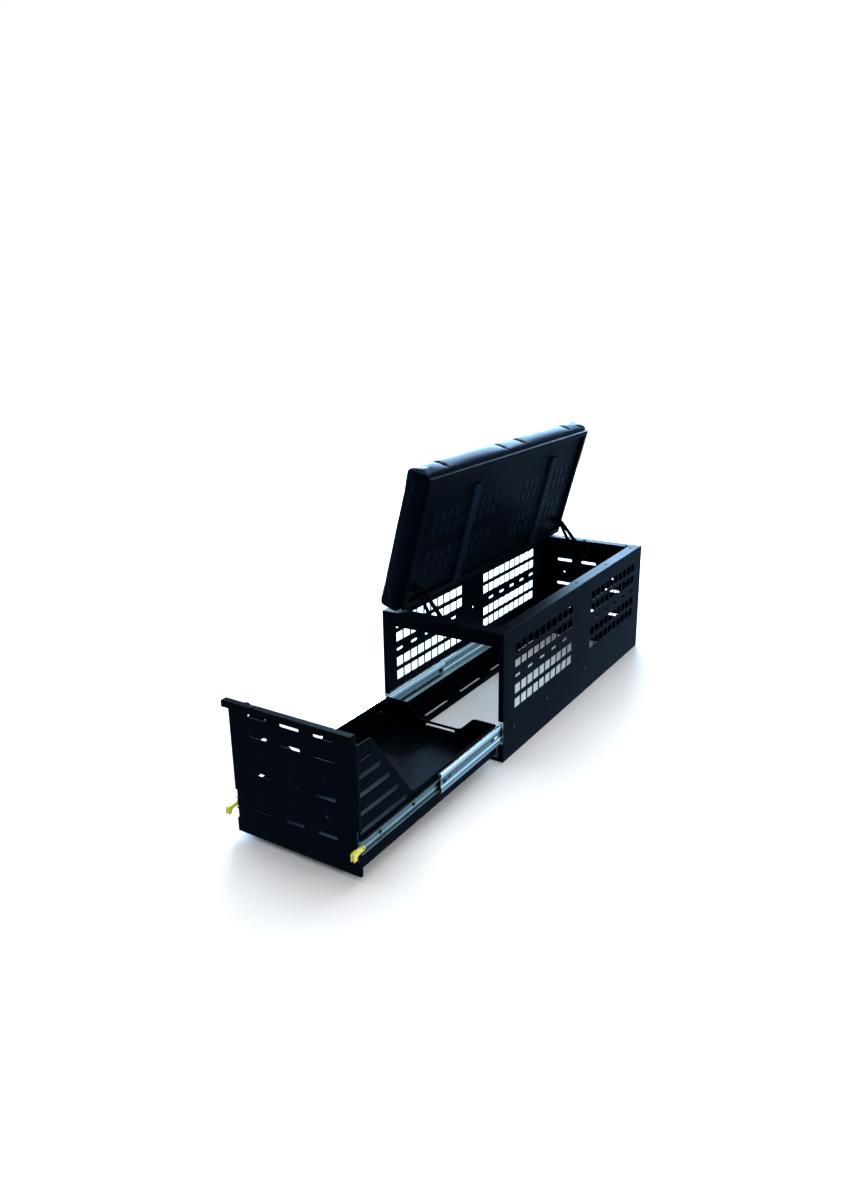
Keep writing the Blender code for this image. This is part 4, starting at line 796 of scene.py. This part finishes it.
# ---------------------------------------------------------------- slides' running gear
MIDDLE_FACE, MIDDLE_INSIDE = 0.2312, 0.2292     # both faces of a middle member's sunk web
MIDDLE_START, MIDDLE_STOP = -0.404, 0.358       # its two ends along Y
BALL_ROW_X, BALL_ROW_RISE = 0.2300, 0.03425     # rows over and under the slides' middle
BALL_ROW_INSET = 0.006
# Dark rubber sheets lie flat on the web as painted shade where a slot or hole is.
HOLE_SHADE_SHEET = (MIDDLE_FACE + 0.0001, MIDDLE_FACE + 0.0004)     # dark holes lie flat on the web
TAB = (MIDDLE_FACE + 0.0004, MIDDLE_FACE + 0.0018)
PAD = (MIDDLE_INSIDE - 0.0036, MIDDLE_INSIDE - 0.0001)
# name, middle's Y, height over the slide's middle, length, height, thickness, finish, slot, edge
GEAR_PLATES = (
    # The first two rows are dark sheets painted as the shade inside a latch slot and a stop hole.
    ("latch_slot_", MIDDLE_START + 0.050, 0.003, 0.020, 0.008, HOLE_SHADE_SHEET, RUBBER, "rubber", 0),
    ("stop_hole_", -0.083, 0.001, 0.018, 0.012, HOLE_SHADE_SHEET, RUBBER, "rubber", 0),
    ("stop_tab_", -0.063, 0.003, 0.020, 0.009, TAB, NYLON, "zinc", 0.0003),
    ("stop_pad_", MIDDLE_STOP - 0.018, -0.003, 0.024, 0.016, PAD, RUBBER, "rubber", 0.0006),
)


def plate(name, outline, thickness, look, sign, bevel):
    """A flat plate whose outline is (y, z), between two X on the right side or the left."""
    n = len(outline)
    verts = [(sign * x, y, z) for x in thickness for y, z in outline]
    faces = [list(range(n)), list(range(n, 2 * n))]
    faces += [[k, (k + 1) % n, n + (k + 1) % n, n + k] for k in range(n)]
    made = piece(name, verts, faces, look)
    if bevel:
        edge = made.modifiers.new("edge", "BEVEL")
        edge.width, edge.segments, edge.limit_method = bevel, 2, "ANGLE"
        shaded(baked(made), PLATE_SHARP)
    return made


def oval(y, z, long, high):
    """A round-ended outline, long along Y."""
    steps, r = 6, high / 2
    out = []
    for side, start in ((1, -90), (-1, 90)):
        for k in range(steps + 1):
            t = math.radians(start + 180 * k / steps)
            out.append((y + side * (long / 2 - r) + r * math.cos(t), z + r * math.sin(t)))
    return out


def make_running_gear():
    for side, sign in (("left", -1), ("right", 1)):
        ends = [(sign * BALL_ROW_X, y, SLIDE_Z + rise)
                for rise in (-BALL_ROW_RISE, BALL_ROW_RISE)
                for y in (CABINET_FRONT + BALL_ROW_INSET, MIDDLE_STOP - BALL_ROW_INSET)]
        balls = BALLS.lay("bearing_balls_" + side, ends, [(0, 1), (2, 3)], ZINC)
        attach(balls, "slide_middles")
        for name, y, rise, long, high, thickness, look, slot, bevel in GEAR_PLATES:
            made = plate(name + side, oval(y, SLIDE_Z + rise, long, high),
                         thickness, look, sign, bevel)
            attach(made, "slide_middles")


make_running_gear()

# ---------------------------------------------------------------- studio
ROOM_LIGHT, WALL_LIGHT, CEILING_LIGHT = 0.37, 1.0, 3.0
GEL_LIGHT, GEL_COLOUR = 1.1, (0.42, 0.66, 1.0, 1)      # the cool wall that gloss reflects
FLOOR_RINGS, FLOOR_SIDES = (2.0, 6.0, 20.0, 60.0), 48
FLOOR_MIDDLE, FLOOR_HEIGHT = 0.2, -0.0002       # the rings' middle along Y, and the height
# name, place, aim, size, power, colour
SOFT_BOXES = (
    ("rear_box", (-2.4, 4.6, 2.0), (0, 0.4, 0.4), (3.4, 2.0), 820, (0.40, 0.67, 1.0)),
    ("side_strip", (2.6, -0.9, 1.5), (0.22, -0.35, 0.1), (3.2, 0.30), 34, (1.0, 1.0, 1.0)),
)


def make_floor():
    sides = FLOOR_SIDES
    verts = [(0, FLOOR_MIDDLE, FLOOR_HEIGHT)]
    for r in FLOOR_RINGS:
        for k in range(sides):
            t = 2 * math.pi * k / sides
            verts.append((r * math.cos(t), FLOOR_MIDDLE + r * math.sin(t), FLOOR_HEIGHT))
    faces = [[0, 1 + k, 1 + (k + 1) % sides] for k in range(sides)]
    for ring in range(len(FLOOR_RINGS) - 1):
        base = 1 + ring * sides
        for k in range(sides):
            after = (k + 1) % sides
            faces.append([base + k, base + sides + k, base + sides + after, base + after])
    floor = piece("studio_floor", verts, faces, studio_floor())
    floor.visible_glossy = False


def light_room():
    """White where the camera looks, the cool gel in reflections, and dim room light else."""
    scene = bpy.context.scene
    scene.view_settings.view_transform = "Standard"
    world = bpy.data.worlds.new("studio")
    scene.world = world
    world.use_nodes = True
    tree = world.node_tree

    def glow(colour, strength, made=None):
        made = made or tree.nodes.new("ShaderNodeBackground")
        made.inputs["Color"].default_value = colour
        made.inputs["Strength"].default_value = strength
        return made.outputs[0]

    def mixed(ray, usual, seen_so):
        made = tree.nodes.new("ShaderNodeMixShader")
        for k, source in enumerate((seen.outputs[ray], usual, seen_so)):
            tree.links.new(source, made.inputs[k])
        return made.outputs[0]

    seen = tree.nodes.new("ShaderNodeLightPath")
    room = glow((0.92, 0.96, 1.0, 1), ROOM_LIGHT,
                next(n for n in tree.nodes if n.type == "BACKGROUND"))
    gloss = mixed("Is Glossy Ray", room, glow(GEL_COLOUR, GEL_LIGHT))
    both = mixed("Is Camera Ray", gloss, glow((1, 1, 1, 1), WALL_LIGHT))
    out = next(n for n in tree.nodes if n.type == "OUTPUT_WORLD")
    tree.links.new(both, out.inputs["Surface"])


def hang_light(lamp, aim, place=(0, 0, 0)):
    stand = bpy.data.objects.new(lamp.name, lamp)
    stand.location = place
    stand.rotation_euler = (Vector(aim) - Vector(place)).to_track_quat("-Z", "Y").to_euler()
    bpy.context.scene.collection.objects.link(stand)


def make_lights():
    ceiling = bpy.data.lights.new("ceiling_light", "SUN")
    ceiling.energy, ceiling.angle = CEILING_LIGHT, math.radians(70)
    ceiling.color = (0.97, 0.985, 1.0)
    hang_light(ceiling, (0.35, -0.45, -1.0))
    for name, place, aim, size, power, colour in SOFT_BOXES:
        lamp = bpy.data.lights.new(name, "AREA")
        lamp.shape, lamp.size, lamp.size_y = "RECTANGLE", size[0], size[1]
        lamp.energy, lamp.color = power, colour
        hang_light(lamp, aim, place)


LENS_LENGTH, SENSOR = 27.518, 36.0              # millimetres
CAMERA_PLACE = (1.5071, -2.4367, 1.4869)
CAMERA_RIGHT = Vector((0.84521, 0.53425, -0.01383))
CAMERA_DOWN = Vector((0.15346, -0.26741, -0.95129))
CAMERA_AHEAD = Vector((-0.51193, 0.80191, -0.30800))


def make_camera():
    lens = bpy.data.cameras.new("photo_camera")
    lens.lens, lens.sensor_width, lens.sensor_fit = LENS_LENGTH, SENSOR, "AUTO"
    lens.clip_start, lens.clip_end = 0.05, 200.0
    camera = bpy.data.objects.new("photo_camera", lens)
    turn = Matrix((CAMERA_RIGHT, -CAMERA_DOWN, -CAMERA_AHEAD)).transposed().to_4x4()
    camera.matrix_world = Matrix.Translation(CAMERA_PLACE) @ turn
    bpy.context.scene.collection.objects.link(camera)
    bpy.context.scene.camera = camera


make_floor()
light_room()
make_lights()
make_camera()
